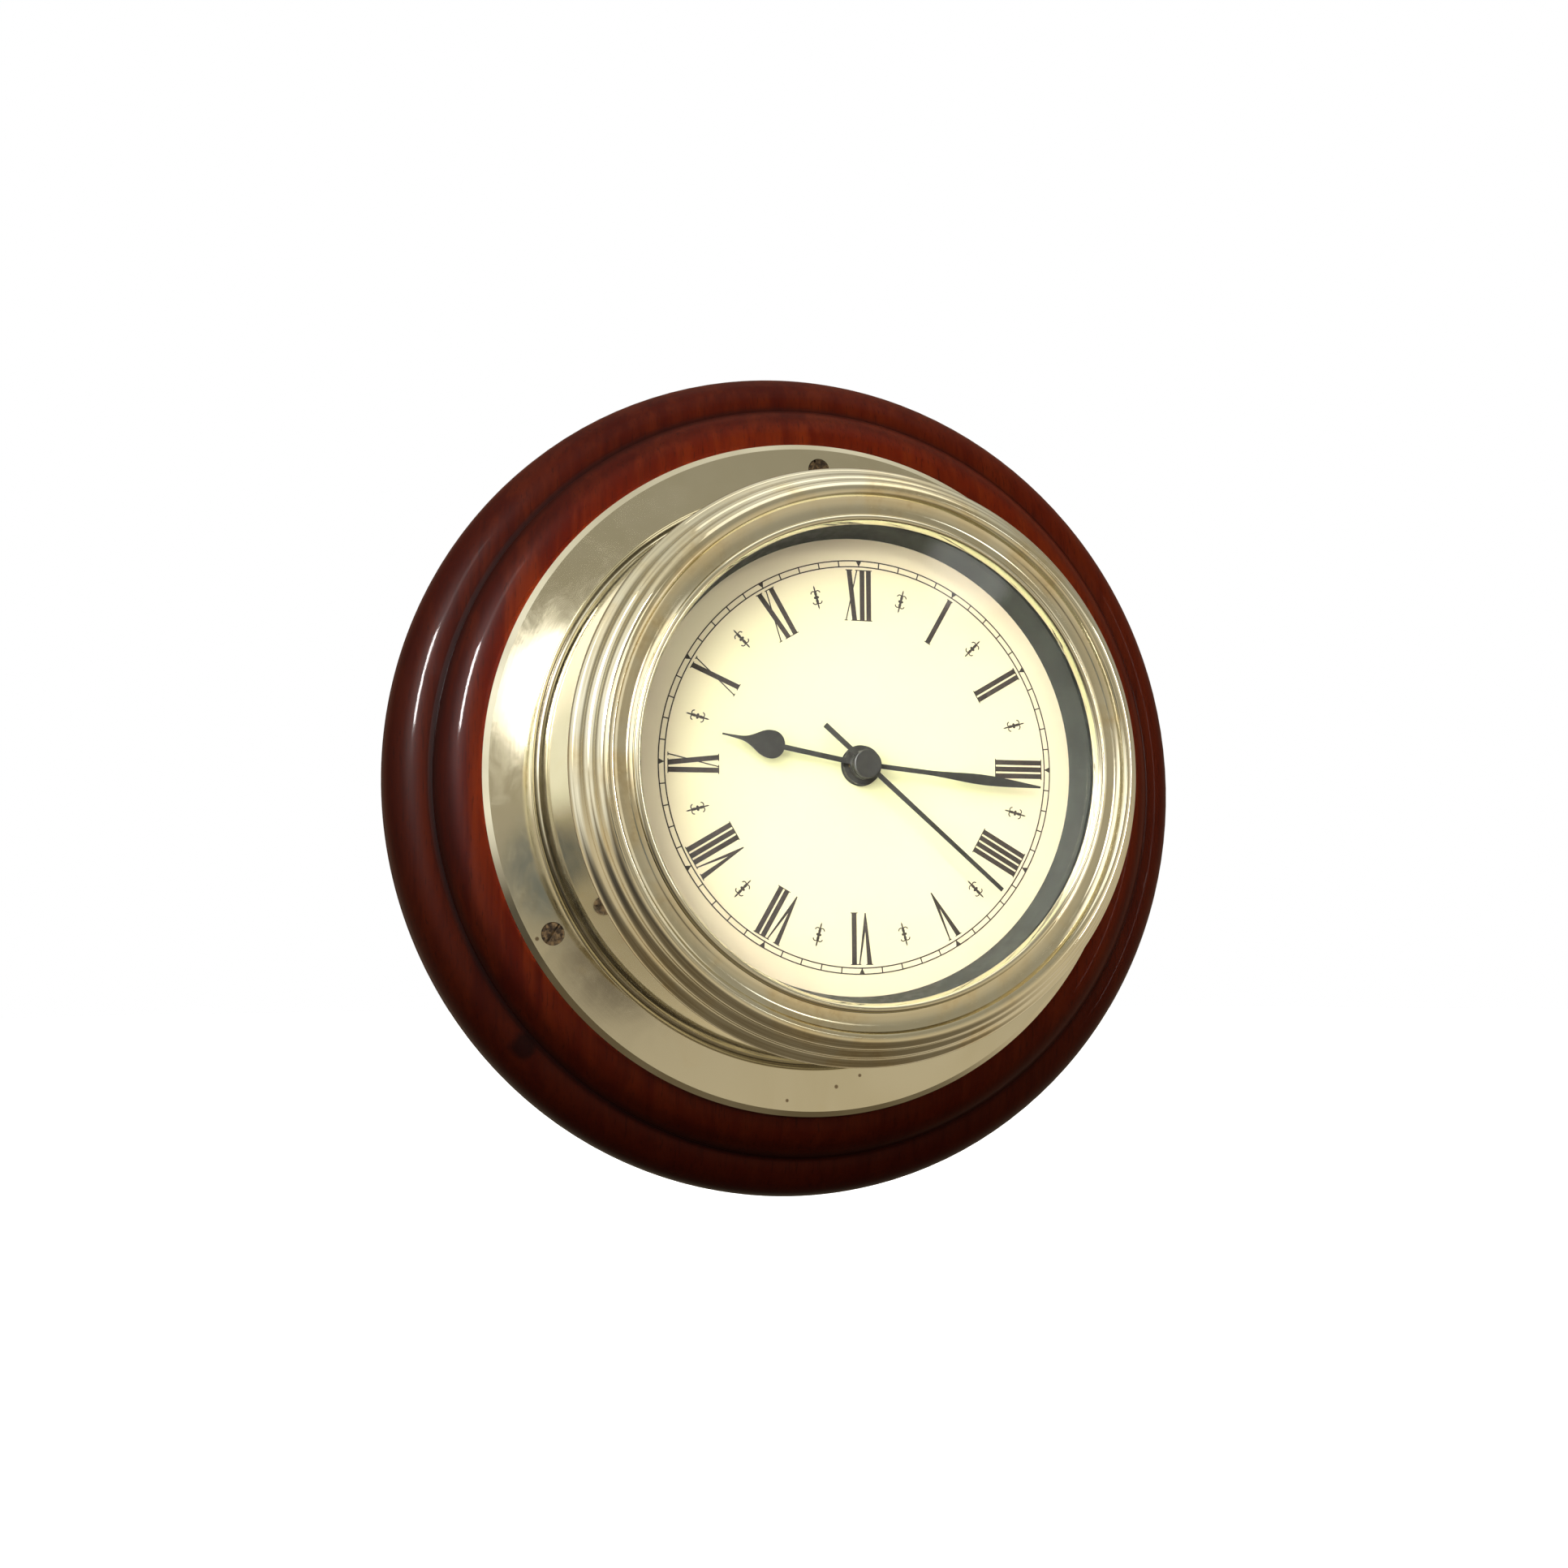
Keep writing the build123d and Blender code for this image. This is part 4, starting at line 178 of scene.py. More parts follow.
# An outline that turns by less than STRAIGHT is straight, and by more than SHARP is a corner.
STRAIGHT, SHARP = 1e-4, math.radians(34)
IN_PLANE = 2e-6
SCREW_CIRCLE_R = 0.0831
SCREW_ANGLES = (0, 120, 240)
SCREW_CLEARANCE = 0.00005
BORE_FRONT_Y, BORE_BACK_Y = -0.05, 0.0


def outline_of(node):
    """The closed outline of a turned CAD node as (radius, y) points, read from its mesh on the +X side."""
    mesh, links = NODES[node].data, {}
    for edge in mesh.edges:
        a, b = (mesh.vertices[i].co for i in edge.vertices)
        if abs(a.z) < IN_PLANE and abs(b.z) < IN_PLANE and a.x > 0 and b.x > 0:
            a, b = (round(a.x, 6), round(a.y, 6)), (round(b.x, 6), round(b.y, 6))
            if a != b:
                links.setdefault(a, set()).add(b)
                links.setdefault(b, set()).add(a)
    line = [min(links)]
    while True:
        ways = sorted(p for p in links[line[-1]] if p not in line)
        if not ways:
            return [Vector(p) for p in line]
        line.append(ways[0])


def rounded(line, steps=3):
    """More points on the curved stretches of a closed outline; its corners and straight stretches stay."""
    count = len(line)
    turn = []
    for i, p in enumerate(line):
        before, after = p - line[i - 1], line[(i + 1) % count] - p
        turn.append(abs(before.angle_signed(after)))
    soft = [STRAIGHT < t < SHARP for t in turn]
    made = []
    for i, p in enumerate(line):
        j = (i + 1) % count
        q = line[j]
        made.append(p)
        if not (soft[i] or soft[j]):
            continue
        leave = (q - line[i - 1]) if soft[i] else None
        enter = (line[(j + 1) % count] - p) if soft[j] else None
        chord = q - p
        leave = leave.normalized() * chord.length if leave else None
        enter = enter.normalized() * chord.length if enter else None
        if leave is None:
            leave = 2 * chord - enter
        if enter is None:
            enter = 2 * chord - leave
        for k in range(1, steps):
            t = k / steps
            made.append(
                p * (2 * t**3 - 3 * t**2 + 1) + leave * (t**3 - 2 * t**2 + t)
                + q * (3 * t**2 - 2 * t**3) + enter * (t**3 - t**2)
            )
    return made


def new_object(name, points, faces, material):
    """A smooth-shaded object with sharp corners kept, and its normals facing out."""
    mesh = bpy.data.meshes.new(name)
    mesh.from_pydata(points, [], faces)
    mesh.validate()
    tidy = bmesh.new()
    tidy.from_mesh(mesh)
    bmesh.ops.recalc_face_normals(tidy, faces=tidy.faces)
    tidy.to_mesh(mesh)
    tidy.free()
    mesh.shade_smooth()
    mesh.set_sharp_from_angle(angle=SHARP)
    mesh.materials.append(material)
    made = bpy.data.objects.new(name, mesh)
    bpy.context.scene.collection.objects.link(made)
    return made


def turned(name, node, body, material):
    """A finely turned copy of a CAD node, from the node's own outline."""
    line = rounded(outline_of(node))
    points, faces = [], []
    for k in range(SIDES):
        a = 2 * math.pi * k / SIDES
        points += [(p.x * math.cos(a), p.y, p.x * math.sin(a)) for p in line]
    count = len(line)
    for k in range(SIDES):
        near, far = k * count, (k + 1) % SIDES * count
        for i in range(count):
            j = (i + 1) % count
            faces.append((near + i, near + j, far + j, far + i))
    made = new_object(name, points, faces, material)
    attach(made, body)
    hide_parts(node)
    return made


def bore(piece, spots, radius, front, behind):
    """Cuts round holes along Y through a piece."""
    points, faces = [], []
    for x, z in spots:
        first = len(points)
        second, end = first + HOLE_SIDES, first + 2 * HOLE_SIDES
        for y in (front, behind):
            for k in range(HOLE_SIDES):
                a = 2 * math.pi * k / HOLE_SIDES
                points.append((x + radius * math.cos(a), y, z + radius * math.sin(a)))
        for k in range(HOLE_SIDES):
            m = (k + 1) % HOLE_SIDES
            faces.append((first + k, first + m, second + m, second + k))
        faces.append(tuple(range(first, second)))
        faces.append(tuple(range(end - 1, second - 1, -1)))
    drill = new_object("drill", points, faces, piece.data.materials[0])
    cut = piece.modifiers.new("holes", "BOOLEAN")
    cut.operation, cut.solver, cut.object = "DIFFERENCE", "EXACT", drill
    bpy.context.view_layer.update()
    evaluated = piece.evaluated_get(bpy.context.evaluated_depsgraph_get())
    result = bpy.data.meshes.new_from_object(evaluated)
    piece.modifiers.clear()
    result.set_sharp_from_angle(angle=SHARP)
    piece.data = result
    bpy.data.objects.remove(drill)


# ---------------------------------------------------------------- materials
# Radii from the clock's axis and heights, in metres, where the wood and the brass change.
# The GROOVE radii bound painted shade across the wood's groove.
GROOVE_IN, GROOVE_OUT = 0.0995, 0.1034
GROOVE_EDGE_IN, GROOVE_EDGE_OUT = 0.0019, 0.0018
# The RIM and ROLLS radii and the SHADE heights bound painted shade on the wood's outer rim, its rolls and
# its lower part.
RIM_START, RIM_END = 0.108, 0.1132
ROLLS_START, ROLLS_END = 0.0955, 0.0985
SHADE_TOP_Z, SHADE_BOTTOM_Z = -0.02, -0.105
KNOT_ANGLE, KNOT_R, KNOT_Y = 227.8, 0.1045, -0.0165
KNOT_IN, KNOT_OUT = 0.0018, 0.0048
SPOT_Y = -0.0272
QUIRK_EDGE = 0.0003


def mahogany():
    """Varnished mahogany with upright grain and a knot, darkened with painted shade across its groove, on
    its rolls, at its outer rim and towards the bottom.
    """
    s = Shader("mahogany", roughness=0.45, specular_ior_level=0.02, coat_weight=0.045, coat_ior=1.5)
    broad = s.noise(16, 2, 0.5, s.stretched(1, 1, 0.3), bend=0.6)
    fibre = s.noise(700, 4, 0.6, s.stretched(1, 1, 0.03))
    streak = s.noise(170, 3, 0.55, s.stretched(1, 1, 0.045), bend=0.4)
    fleck = s.noise(2100, 2, 0.5, s.stretched(1, 0.5, 0.09))
    body = s.blend(s.span(broad, 0.3, 0.7), (0.072, 0.0055, 0.0012), (0.130, 0.0125, 0.0022))
    body = s.blend(s.span(streak, 0.35, 0.7, 0, 0.55), body, (0.175, 0.024, 0.004))
    body = s.blend(s.span(fibre, 0.45, 0.75, 0, 0.4), body, (0.045, 0.005, 0.002))
    pores = s.span(fleck, 0.60, 0.70)
    body = s.blend(s.maths("MULTIPLY", pores, 0.5), body, (0.035, 0.006, 0.003))
    r = s.radius()
    # Painted shade: the wood is darkened across the groove between its two rolls.
    inner = s.span(r, GROOVE_IN, GROOVE_IN + GROOVE_EDGE_IN)
    groove = s.maths("MULTIPLY", inner, s.span(r, GROOVE_OUT, GROOVE_OUT - GROOVE_EDGE_OUT))
    body = s.blend(s.maths("MULTIPLY", groove, 0.8), body, (0.020, 0.004, 0.003))
    # Painted shade: the outer rim of the wood is darkened.
    rim = s.span(r, RIM_START, RIM_END)
    body = s.blend(s.maths("MULTIPLY", rim, 0.45), body, (0.040, 0.006, 0.004))
    knot = s.near(on_dial(KNOT_ANGLE, KNOT_R, KNOT_Y))
    uneven = s.maths("MULTIPLY", s.maths("SUBTRACT", s.noise(260, 2), 0.5), 0.003)
    knot = s.maths("ADD", knot, uneven)
    body = s.blend(s.span(knot, KNOT_OUT, KNOT_IN, 0, 0.93), body, (0.010, 0.003, 0.003))
    # Painted shade: the rolls are darkened.
    body = s.blend(s.span(r, ROLLS_START, ROLLS_END, 0, 0.35), body, (0.020, 0.0020, 0.0008))
    # Painted shade: the wood darkens towards the bottom.
    low_down = s.span(s.parts()[2], SHADE_TOP_Z, SHADE_BOTTOM_Z, 0, 0.62)
    body = s.blend(low_down, body, (0.012, 0.0012, 0.0006))
    s.set(base_color=body)
    s.set(coat_roughness=s.span(s.noise(60, 3), 0.35, 0.75, 0.05, 0.14))
    s.bump(fibre, 0.12, 0.00012)
    s.bump(s.noise(240, 2), 0.10, 0.0002)
    return s.material


def pale_brass(name, tint, dots=(), quirk=None):
    """Polished lacquered brass that has gone pale, warmer where tint is high.

    Dots are tarnish spots as clock angle, radius and size. Quirk is the two radii of a groove darkened with
    painted shade.
    """
    s = Shader(name, metallic=1.0, coat_weight=0.35, coat_ior=1.5)
    cloud = s.noise(28, 3, 0.6, bend=0.8)
    fine = s.noise(420, 3, 0.6)
    pale = s.blend(s.span(cloud, 0.35, 0.7), (0.80, 0.765, 0.62), (0.75, 0.71, 0.55))
    warm = s.blend(s.span(fine, 0.4, 0.7), (0.80, 0.68, 0.42), (0.68, 0.54, 0.30))
    patches = s.noise(45, 3, 0.65, bend=0.5)
    share = s.span(patches, 0.62 - 0.35 * tint, 0.86 - 0.3 * tint, 0, 0.45 + 0.5 * tint)
    body = s.blend(share, pale, warm)
    for angle, radius, size in dots:
        spot = s.near(on_dial(angle, radius, SPOT_Y))
        body = s.blend(s.span(spot, size, size * 0.45, 0, 0.85), body, (0.16, 0.10, 0.05))
    if quirk:
        r = s.radius()
        low, high = quirk
        # Painted shade: the quirk groove is darkened.
        inner = s.span(r, low, low + QUIRK_EDGE)
        quirk_shade = s.maths("MULTIPLY", inner, s.span(r, high, high - QUIRK_EDGE))
        body = s.blend(s.maths("MULTIPLY", quirk_shade, 0.7), body, (0.07, 0.045, 0.02))
        drum = s.span(r, low - 0.0001, low - QUIRK_EDGE, 0, 0.8)
        body = s.blend(drum, body, (0.84, 0.82, 0.73))
    s.set(base_color=body)
    smear = s.noise(75, 4, 0.7, bend=1.2)
    s.set(roughness=s.span(smear, 0.35, 0.8, 0.05, 0.12))
    s.set(coat_roughness=s.span(cloud, 0.3, 0.8, 0.02, 0.07))
    lines = s.noise(900, 2, 0.6, s.ring_place(0.01))
    s.bump(lines, 0.04, 0.00002)
    s.bump(cloud, 0.04, 0.0003)
    return s.material


def dull_brass(name, colour=(0.62, 0.45, 0.18), deep=(0.36, 0.24, 0.09)):
    s = Shader(name, metallic=1.0)
    cloud = s.noise(140, 4, 0.6, bend=0.5)
    s.set(base_color=s.blend(s.span(cloud, 0.35, 0.7), colour, deep))
    s.set(roughness=s.span(s.noise(500, 3), 0.3, 0.7, 0.28, 0.5))
    s.bump(s.noise(1800, 2), 0.15, 0.00005)
    return s.material


def steel(name, colour=(0.56, 0.56, 0.54), deep=(0.36, 0.35, 0.33), low=0.2, high=0.42):
    s = Shader(name, metallic=1.0)
    cloud = s.noise(220, 3, 0.6)
    s.set(base_color=s.blend(s.span(cloud, 0.35, 0.7), colour, deep))
    s.set(roughness=s.span(s.noise(700, 3, 0.6, s.stretched(1, 1, 0.1)), 0.3, 0.7, low, high))
    s.bump(s.noise(2600, 2, 0.5, s.stretched(1, 1, 0.08)), 0.12, 0.00004)
    return s.material


def antique_screw():
    """Dark brown screw heads."""
    s = Shader("antique_screw", metallic=0.85)
    cloud = s.noise(900, 4, 0.7, bend=0.6)
    s.set(base_color=s.blend(s.span(cloud, 0.4, 0.65), (0.020, 0.014, 0.009), (0.085, 0.055, 0.025)))
    s.set(roughness=s.span(cloud, 0.3, 0.7, 0.32, 0.6))
    s.bump(cloud, 0.3, 0.0001)
    return s.material


def plastic(name, colour, deep, low=0.35, high=0.5, grain=1500, strength=0.2):
    """Moulded plastic with a fine spark-eroded grain."""
    s = Shader(name)
    s.set(base_color=s.blend(s.span(s.noise(90, 3), 0.35, 0.7), colour, deep))
    s.set(roughness=s.span(s.noise(300, 3), 0.3, 0.7, low, high))
    s.bump(s.noise(grain, 2), strength, 0.00006)
    return s.material


def cream_enamel():
    """The dial's cream paint, yellower in the middle and a little darker towards its edge, where the
    darkening is painted shade.
    """
    s = Shader("cream_enamel", coat_weight=0.25, coat_roughness=0.25)
    r = s.radius()
    # Painted shade: the cream turns darker and warmer towards the dial's edge.
    body = s.blend(s.span(r, 0.026, 0.060), (0.89, 0.87, 0.50), (0.80, 0.67, 0.47))
    body = s.blend(s.span(s.noise(35, 3, 0.5, bend=0.5), 0.4, 0.75, 0, 0.25), body, (0.88, 0.82, 0.52))
    specks = s.noise(2300, 2, 0.6)
    body = s.blend(s.span(specks, 0.70, 0.80, 0, 0.18), body, (0.62, 0.52, 0.36))
    s.set(base_color=body)
    s.set(roughness=s.span(s.noise(200, 3), 0.3, 0.7, 0.34, 0.44))
    s.bump(s.noise(1400, 3), 0.06, 0.00005)
    return s.material


def ink():
    s = Shader("printed_ink")
    cloud = s.span(s.noise(1600, 3), 0.4, 0.7)
    s.set(base_color=s.blend(cloud, (0.016, 0.009, 0.006), (0.030, 0.018, 0.012)))
    s.set(roughness=s.span(s.noise(900, 2), 0.3, 0.7, 0.42, 0.58))
    s.bump(s.noise(2600, 2), 0.2, 0.00003)
    return s.material


def hand_black():
    s = Shader("hand_black")
    cloud = s.span(s.noise(700, 3), 0.4, 0.7)
    s.set(base_color=s.blend(cloud, (0.010, 0.010, 0.008), (0.020, 0.019, 0.016)))
    s.set(roughness=s.span(s.noise(1100, 3), 0.3, 0.7, 0.36, 0.52))
    s.bump(s.noise(2400, 2), 0.15, 0.00003)
    return s.material


def grey_paint():
    s = Shader("grey_paint", specular_ior_level=0.15)
    cloud = s.span(s.noise(120, 4), 0.35, 0.7)
    s.set(base_color=s.blend(cloud, (0.018, 0.020, 0.018), (0.028, 0.031, 0.027)))
    s.set(roughness=s.span(s.noise(500, 3), 0.3, 0.7, 0.42, 0.6))
    s.bump(s.noise(2200, 2), 0.2, 0.00004)
    return s.material


def clear_glass():
    """Clear glass. Shadow rays pass straight through it, so that lamps reach the dial."""
    s = Shader("clear_glass", transmission_weight=1.0, ior=1.33)
    s.set(base_color=s.blend(s.span(s.noise(20, 2), 0.3, 0.7), (0.985, 1.0, 0.99), (0.97, 0.99, 0.975)))
    s.set(roughness=s.span(s.noise(40, 3, 0.6), 0.6, 0.85, 0.0, 0.012))
    clear = s.tree.nodes.new("ShaderNodeBsdfTransparent")
    clear.inputs["Color"].default_value = (0.97, 0.98, 0.97, 1)
    path = s.tree.nodes.new("ShaderNodeLightPath")
    mixed = s.tree.nodes.new("ShaderNodeMixShader")
    s.tree.links.new(path.outputs["Is Shadow Ray"], mixed.inputs[0])
    s.tree.links.new(s.bsdf.outputs[0], mixed.inputs[1])
    s.tree.links.new(clear.outputs[0], mixed.inputs[2])
    s.tree.links.new(mixed.outputs[0], s.tree.nodes["Material Output"].inputs["Surface"])
    return s.material


def rubber():
    return plastic("black_rubber", (0.022, 0.022, 0.021), (0.035, 0.034, 0.032), 0.55, 0.75, 2200, 0.35)


def winding():
    s = Shader("copper_winding", metallic=0.6, coat_weight=0.5, coat_roughness=0.15)
    node = s.tree.nodes.new("ShaderNodeTexWave")
    node.bands_direction = "Z"
    node.inputs["Scale"].default_value = 900
    node.inputs["Distortion"].default_value = 1.2
    s.feed(node.inputs["Vector"], s.place)
    turns = node.outputs[1]
    s.set(base_color=s.blend(turns, (0.30, 0.09, 0.03), (0.62, 0.24, 0.09)))
    s.set(roughness=s.span(turns, 0, 1, 0.5, 0.28))
    s.bump(turns, 0.5, 0.0001)
    return s.material


def laminate():
    s = Shader("green_laminate", coat_weight=0.4, coat_roughness=0.2)
    tracks = s.span(s.cells(260), 0.1, 0.5)
    s.set(base_color=s.blend(tracks, (0.05, 0.16, 0.05), (0.03, 0.09, 0.035)))
    s.set(roughness=s.span(s.noise(600, 2), 0.3, 0.7, 0.35, 0.5))
    s.bump(tracks, 0.2, 0.00005)
    return s.material


def sleeve():
    s = Shader("cell_sleeve", coat_weight=0.6, coat_roughness=0.08)
    s.set(base_color=s.blend(s.span(s.noise(120, 3), 0.35, 0.7), (0.035, 0.065, 0.15), (0.025, 0.050, 0.12)))
    s.set(roughness=s.span(s.noise(300, 2), 0.3, 0.7, 0.22, 0.36))
    s.bump(s.noise(160, 2, 0.5, s.stretched(0.15, 1, 1)), 0.2, 0.0001)
    return s.material


WHITE, WARM_WHITE = (0.80, 0.79, 0.72), (0.72, 0.70, 0.62)
TARNISH = (
    (172.7, 0.0800, 0.0006),
    (177.5, 0.0822, 0.0007),
    (186.7, 0.0859, 0.0006),
    (240.6, 0.0872, 0.0007),
)
# The case's quirk groove, darkened with painted shade.
DRUM_QUIRK = (0.0759, 0.0771)
dress(mahogany(), "plinth")
case_brass = pale_brass("case_brass", 0.1, TARNISH, DRUM_QUIRK)
case = turned("turned_case", "case_body", "clock_body", case_brass)
screw_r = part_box("flange_screws")[1].z - SCREW_CIRCLE_R
screw_spots = [on_dial(a, SCREW_CIRCLE_R)[::2] for a in SCREW_ANGLES]
bore(case, screw_spots, screw_r + SCREW_CLEARANCE, BORE_FRONT_Y, BORE_BACK_Y)
turned("turned_bezel", "bezel", "bezel_body", pale_brass("bezel_brass", 0.5))
turned("turned_sight_ring", "sight_ring", "bezel_body", pale_brass("sight_brass", 0.2))
dress(dull_brass("hanger_brass"), "hanger_plate")
dress(dull_brass("turned_brass", (0.70, 0.52, 0.24), (0.55, 0.38, 0.15)), "bush", "cannon_pinion")
dress(steel("plated_steel"), "hanger_screws", "dial_screws", "case_screws")
dress(steel("spring_steel", low=0.3, high=0.5), "glass_retainer", "seconds_arbor")
dress(
    steel("contact_strip", (0.66, 0.65, 0.60), (0.50, 0.48, 0.42), 0.15, 0.3),
    "positive_contact", "negative_contact",
)
dress(steel("iron_strip", (0.48, 0.47, 0.45), (0.34, 0.33, 0.31)), "stator", "coil_core")
dress(steel("drawn_can", (0.72, 0.72, 0.71), (0.60, 0.60, 0.59), 0.12, 0.25), "crystal", "battery_can")
dress(steel("pressed_aluminium", (0.74, 0.74, 0.73), (0.62, 0.62, 0.61), 0.3, 0.45), "dial_carrier")
dress(steel("magnet", (0.12, 0.12, 0.12), (0.07, 0.07, 0.07), 0.4, 0.6), "rotor_magnet")
dress(antique_screw(), "flange_screws")
dress(clear_glass(), "glass")
dress(grey_paint(), "reveal_ring")
dress(cream_enamel(), "dial")
dress(ink(), "minute_track", "numerals", "half_hour_marks")
dress(hand_black(), "hub_washer", "hub_nut", "hour_hand", "minute_hand", "second_hand")
dress(rubber(), "glass_gasket", "rubber_washer")
dress(
    plastic("black_moulding", (0.022, 0.022, 0.023), (0.032, 0.032, 0.033)),
    "front_case", "rear_case", "setting_knob",
)
dress(plastic("white_moulding", WHITE, WARM_WHITE), "middle_plate", "train_bridge")
dress(
    plastic("acetal", (0.82, 0.80, 0.72), (0.76, 0.74, 0.66), 0.28, 0.4, 1200, 0.08),
    "hour_wheel", "minute_wheel", "centre_wheel", "third_wheel", "seconds_wheel",
    "intermediate_wheel", "rotor_pinion",
)
dress(plastic("red_moulding", (0.48, 0.06, 0.03), (0.40, 0.045, 0.025)), "bobbin")
dress(winding(), "coil")
dress(laminate(), "circuit_board")
dress(plastic("black_resin", (0.012, 0.012, 0.012), (0.02, 0.02, 0.02), 0.15, 0.3, 900, 0.1), "chip")
dress(sleeve(), "battery_sleeve")


# ---------------------------------------------------------------- floor
def floor_mesh(name, z, radius, rings=6, sides=96):
    """A flat disc made of rings."""
    points, faces = [(0, 0, z)], []
    for i in range(1, rings + 1):
        for k in range(sides):
            a = 2 * math.pi * k / sides
            points.append((radius * i / rings * math.cos(a), radius * i / rings * math.sin(a), z))
    for k in range(sides):
        faces.append((0, 1 + k, 1 + (k + 1) % sides))
    for i in range(rings - 1):
        for k in range(sides):
            a, b = 1 + i * sides + k, 1 + i * sides + (k + 1) % sides
            faces.append((a, a + sides, b + sides, b))
    mesh = bpy.data.meshes.new(name)
    mesh.from_pydata(points, [], faces)
    made = bpy.data.objects.new(name, mesh)
    bpy.context.scene.collection.objects.link(made)
    return made


FLOOR_Z, FLOOR_R = -0.42, 9.0
floor = floor_mesh("floor", FLOOR_Z, FLOOR_R)
paper = Shader("pale_floor", roughness=0.75, emission_color=(1.0, 1.0, 1.0), emission_strength=1.0)
cloud = paper.span(paper.noise(1.5, 3), 0.3, 0.7)
paper.set(base_color=paper.blend(cloud, (0.90, 0.90, 0.89), (0.93, 0.93, 0.92)))
paper.bump(paper.noise(60, 2), 0.05, 0.001)
floor.data.materials.append(paper.material)
floor.visible_glossy = False
floor.visible_diffuse = False
floor.visible_transmission = False


# ---------------------------------------------------------------- light
def softbox(name, place, target, wide, high, brightness, colour):
    """An area light that faces a point. Brightness is its radiance."""
    light = bpy.data.lights.new(name, "AREA")
    light.shape, light.size, light.size_y = "RECTANGLE", wide, high
    light.energy, light.color = brightness * math.pi * wide * high, colour
    made = bpy.data.objects.new(name, light)
    bpy.context.scene.collection.objects.link(made)
    made.location = place
    made.rotation_mode = "QUATERNION"
    made.rotation_quaternion = (Vector(target) - Vector(place)).to_track_quat("-Z", "Y")
    return made


CENTRE = (0, -0.05, 0)
OVERHEAD, UNDERNEATH = (0, 0.6, 2.6), (0, 0.6, -0.4)
window = softbox("window", (-1.0, -1.3, 0.9), CENTRE, 0.22, 0.62, 11.0, (1.0, 0.98, 0.93))
lamp = softbox("lamp", (0.42, -2.05, 0.75), CENTRE, 0.26, 0.24, 44.0, (1.0, 0.97, 0.88))
lamp.visible_glossy = False
ceiling = softbox("ceiling", (0.25, -0.8, 1.6), CENTRE, 1.6, 1.0, 0.7, (1.0, 0.96, 0.86))
fill = softbox("fill", (1.6, -1.4, 0.2), CENTRE, 1.0, 1.4, 0.45, (1.0, 0.95, 0.84))
gleam = softbox("gleam", (-1.15, -1.25, 0.55), CENTRE, 0.16, 0.42, 700.0, (1.0, 0.97, 0.97))
gleam.visible_diffuse = False
strip = softbox("strip", (1.5, -0.9, 0.05), CENTRE, 0.08, 1.3, 12.0, (1.0, 0.95, 0.95))
strip.visible_diffuse = False
top = softbox("overhead", OVERHEAD, UNDERNEATH, 3.5, 3.5, 1.9, (1.0, 1.0, 1.0))
top.visible_glossy = False
for source in (window, lamp, ceiling, fill, gleam, strip, top):
    source.visible_transmission = False


# Each patch: its direction, the cosines where it starts and is full, and its colour.
# A later patch covers an earlier one.
UPWARD = ((0, 0, 1), -0.3, 0.3)
ROOM_LOW, ROOM_HIGH = (0.66, 0.56, 0.39), (0.38, 0.35, 0.27)
WALL_PATCHES = (
    ((-0.5, -0.5, -0.75), 0.55, 0.95, (0.05, 0.045, 0.04)),
    ((0, -0.2, -1), 0.45, 0.80, (0.13, 0.10, 0.06)),
    ((-0.9, -0.2, 0.35), 0.7, 0.98, (1.3, 1.27, 1.15)),
    ((0.0, -0.1, 1.0), 0.6, 0.95, (0.9, 0.86, 0.74)),
)
CLOUD_SCALE, CLOUD_DETAIL = 2.2, 3
CLOUD_START, CLOUD_FULL, CLOUD_SHARE = 0.40, 0.62, 0.35
CLOUD_COLOUR = (0.28, 0.24, 0.17)
SMALL_PATCHES = (
    ((-0.72, -0.62, 0.32), 0.955, 0.985, (2.4, 2.35, 2.2)),
    ((-0.28, -0.945, 0.14), 0.985, 0.996, (1.15, 1.13, 0.98)),
    ((-0.06, -0.97, 0.20), 0.9816, 0.9945, (1.7, 1.6, 1.4)),
    ((-0.21, -0.975, -0.08), 0.9954, 0.99844, (0.10, 0.11, 0.11)),
    ((0.172, -0.977, 0.13), 0.9988, 0.9997, (5.0, 4.8, 4.3)),
    ((0.388, -0.90, 0.195), 0.99955, 0.99995, (3.6, 3.6, 3.4)),
    ((0.165, -0.985, 0.030), 0.9992, 0.9998, (0.17, 0.18, 0.17)),
    ((0.205, -0.979, -0.02), 0.9988, 0.9998, (0.18, 0.15, 0.11)),
)
DIMMING = 0.65


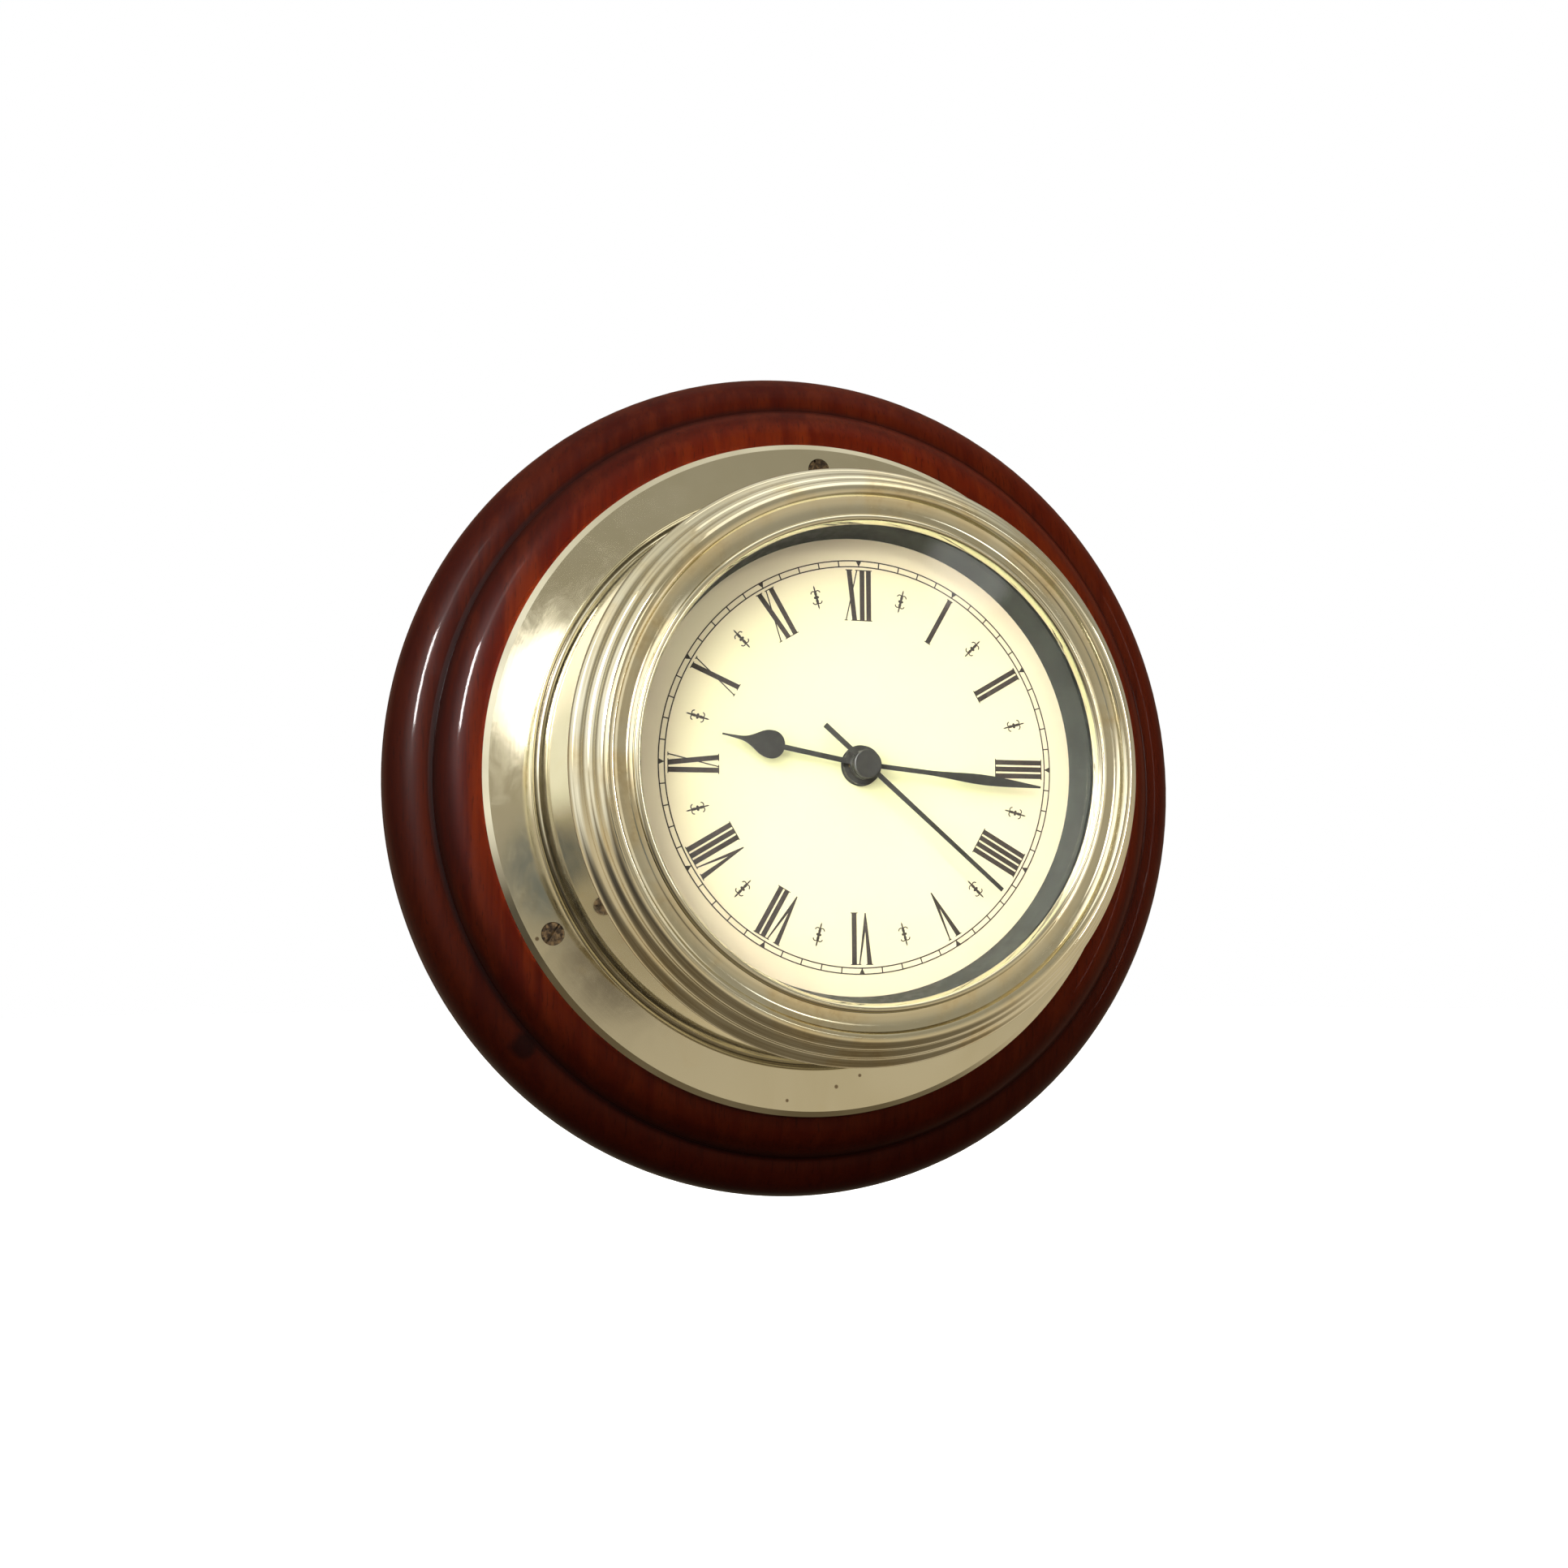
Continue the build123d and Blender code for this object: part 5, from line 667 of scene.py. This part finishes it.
def studio_world():
    """A room seen only in reflections. The camera sees white, and indirect rays a dimmer room."""
    world = bpy.data.worlds.new("studio")
    world.use_nodes = True
    tree = world.node_tree
    tree.nodes.clear()
    make, link = tree.nodes.new, tree.links.new
    place = make("ShaderNodeTexCoord").outputs["Generated"]

    def toward(direction, low, high):
        """From 0 to 1 as a ray turns to a direction, by the cosine between them."""
        dot = make("ShaderNodeVectorMath")
        dot.operation = "DOT_PRODUCT"
        link(place, dot.inputs[0])
        dot.inputs[1].default_value = Vector(direction).normalized()
        ranged = make("ShaderNodeMapRange")
        ranged.interpolation_type = "SMOOTHSTEP"
        link(dot.outputs["Value"], ranged.inputs["Value"])
        ranged.inputs["From Min"].default_value = low
        ranged.inputs["From Max"].default_value = high
        return ranged.outputs["Result"]

    def mixed(share, a, b):
        """Colour a where share is 0, colour b where it is 1."""
        node = make("ShaderNodeMix")
        node.data_type = "RGBA"
        link(share, node.inputs[0])
        for socket, value in ((node.inputs[6], a), (node.inputs[7], b)):
            if isinstance(value, tuple):
                socket.default_value = (*value, 1)
            else:
                link(value, socket)
        return node.outputs[2]

    room = mixed(toward(*UPWARD), ROOM_LOW, ROOM_HIGH)
    for direction, start, full, colour in WALL_PATCHES:
        room = mixed(toward(direction, start, full), room, colour)
    noise = make("ShaderNodeTexNoise")
    link(place, noise.inputs["Vector"])
    noise.inputs["Scale"].default_value = CLOUD_SCALE
    noise.inputs["Detail"].default_value = CLOUD_DETAIL
    cloud = make("ShaderNodeMapRange")
    link(noise.outputs[0], cloud.inputs["Value"])
    cloud.inputs["From Min"].default_value = CLOUD_START
    cloud.inputs["From Max"].default_value = CLOUD_FULL
    cloud.inputs["To Min"].default_value = 0.0
    cloud.inputs["To Max"].default_value = CLOUD_SHARE
    room = mixed(cloud.outputs["Result"], room, CLOUD_COLOUR)
    for direction, start, full, colour in SMALL_PATCHES:
        room = mixed(toward(direction, start, full), room, colour)
    seen, unseen = make("ShaderNodeBackground"), make("ShaderNodeBackground")
    both = make("ShaderNodeMixShader")
    seen.inputs["Color"].default_value = (1, 1, 1, 1)
    link(room, unseen.inputs["Color"])
    path = make("ShaderNodeLightPath")
    indirect, dim = make("ShaderNodeMath"), make("ShaderNodeMath")
    indirect.operation, dim.operation = "MAXIMUM", "MULTIPLY_ADD"
    link(path.outputs["Is Diffuse Ray"], indirect.inputs[0])
    link(path.outputs["Is Transmission Ray"], indirect.inputs[1])
    link(indirect.outputs[0], dim.inputs[0])
    dim.inputs[1].default_value = -DIMMING
    dim.inputs[2].default_value = 1.0
    link(dim.outputs[0], unseen.inputs["Strength"])
    link(path.outputs["Is Camera Ray"], both.inputs[0])
    link(unseen.outputs[0], both.inputs[1])
    link(seen.outputs[0], both.inputs[2])
    link(both.outputs[0], make("ShaderNodeOutputWorld").inputs["Surface"])
    return world


bpy.context.scene.world = studio_world()
bpy.context.scene.view_settings.view_transform = "Standard"


# ---------------------------------------------------------------- camera
VIEW_AZIMUTH, VIEW_ELEVATION = math.radians(-17.42), math.radians(-4.65)
VIEW_ROLL = math.radians(-0.32)
LENS, SENSOR = 42.32, 36.0
AIM_RIGHT, AIM_UP, AIM_AWAY = 0.01898, 0.00452, 0.46270

back = Vector((
    math.sin(VIEW_AZIMUTH) * math.cos(VIEW_ELEVATION),
    -math.cos(VIEW_AZIMUTH) * math.cos(VIEW_ELEVATION),
    math.sin(VIEW_ELEVATION),
))
level = (-back).cross(Vector((0, 0, 1))).normalized()
upright = level.cross(-back)
right = level * math.cos(VIEW_ROLL) + upright * math.sin(VIEW_ROLL)
up = upright * math.cos(VIEW_ROLL) - level * math.sin(VIEW_ROLL)
camera = bpy.data.objects.new("camera", bpy.data.cameras.new("camera"))
bpy.context.scene.collection.objects.link(camera)
camera.data.sensor_width, camera.data.lens = SENSOR, LENS
camera.data.clip_start, camera.data.clip_end = 0.01, 50
camera.data.dof.use_dof = False
camera.rotation_mode = "QUATERNION"
camera.rotation_quaternion = Matrix((right, up, back)).transposed().to_quaternion()
camera.location = Vector((0, DIAL_Y, 0)) - right * AIM_RIGHT - up * AIM_UP + back * AIM_AWAY
bpy.context.scene.camera = camera
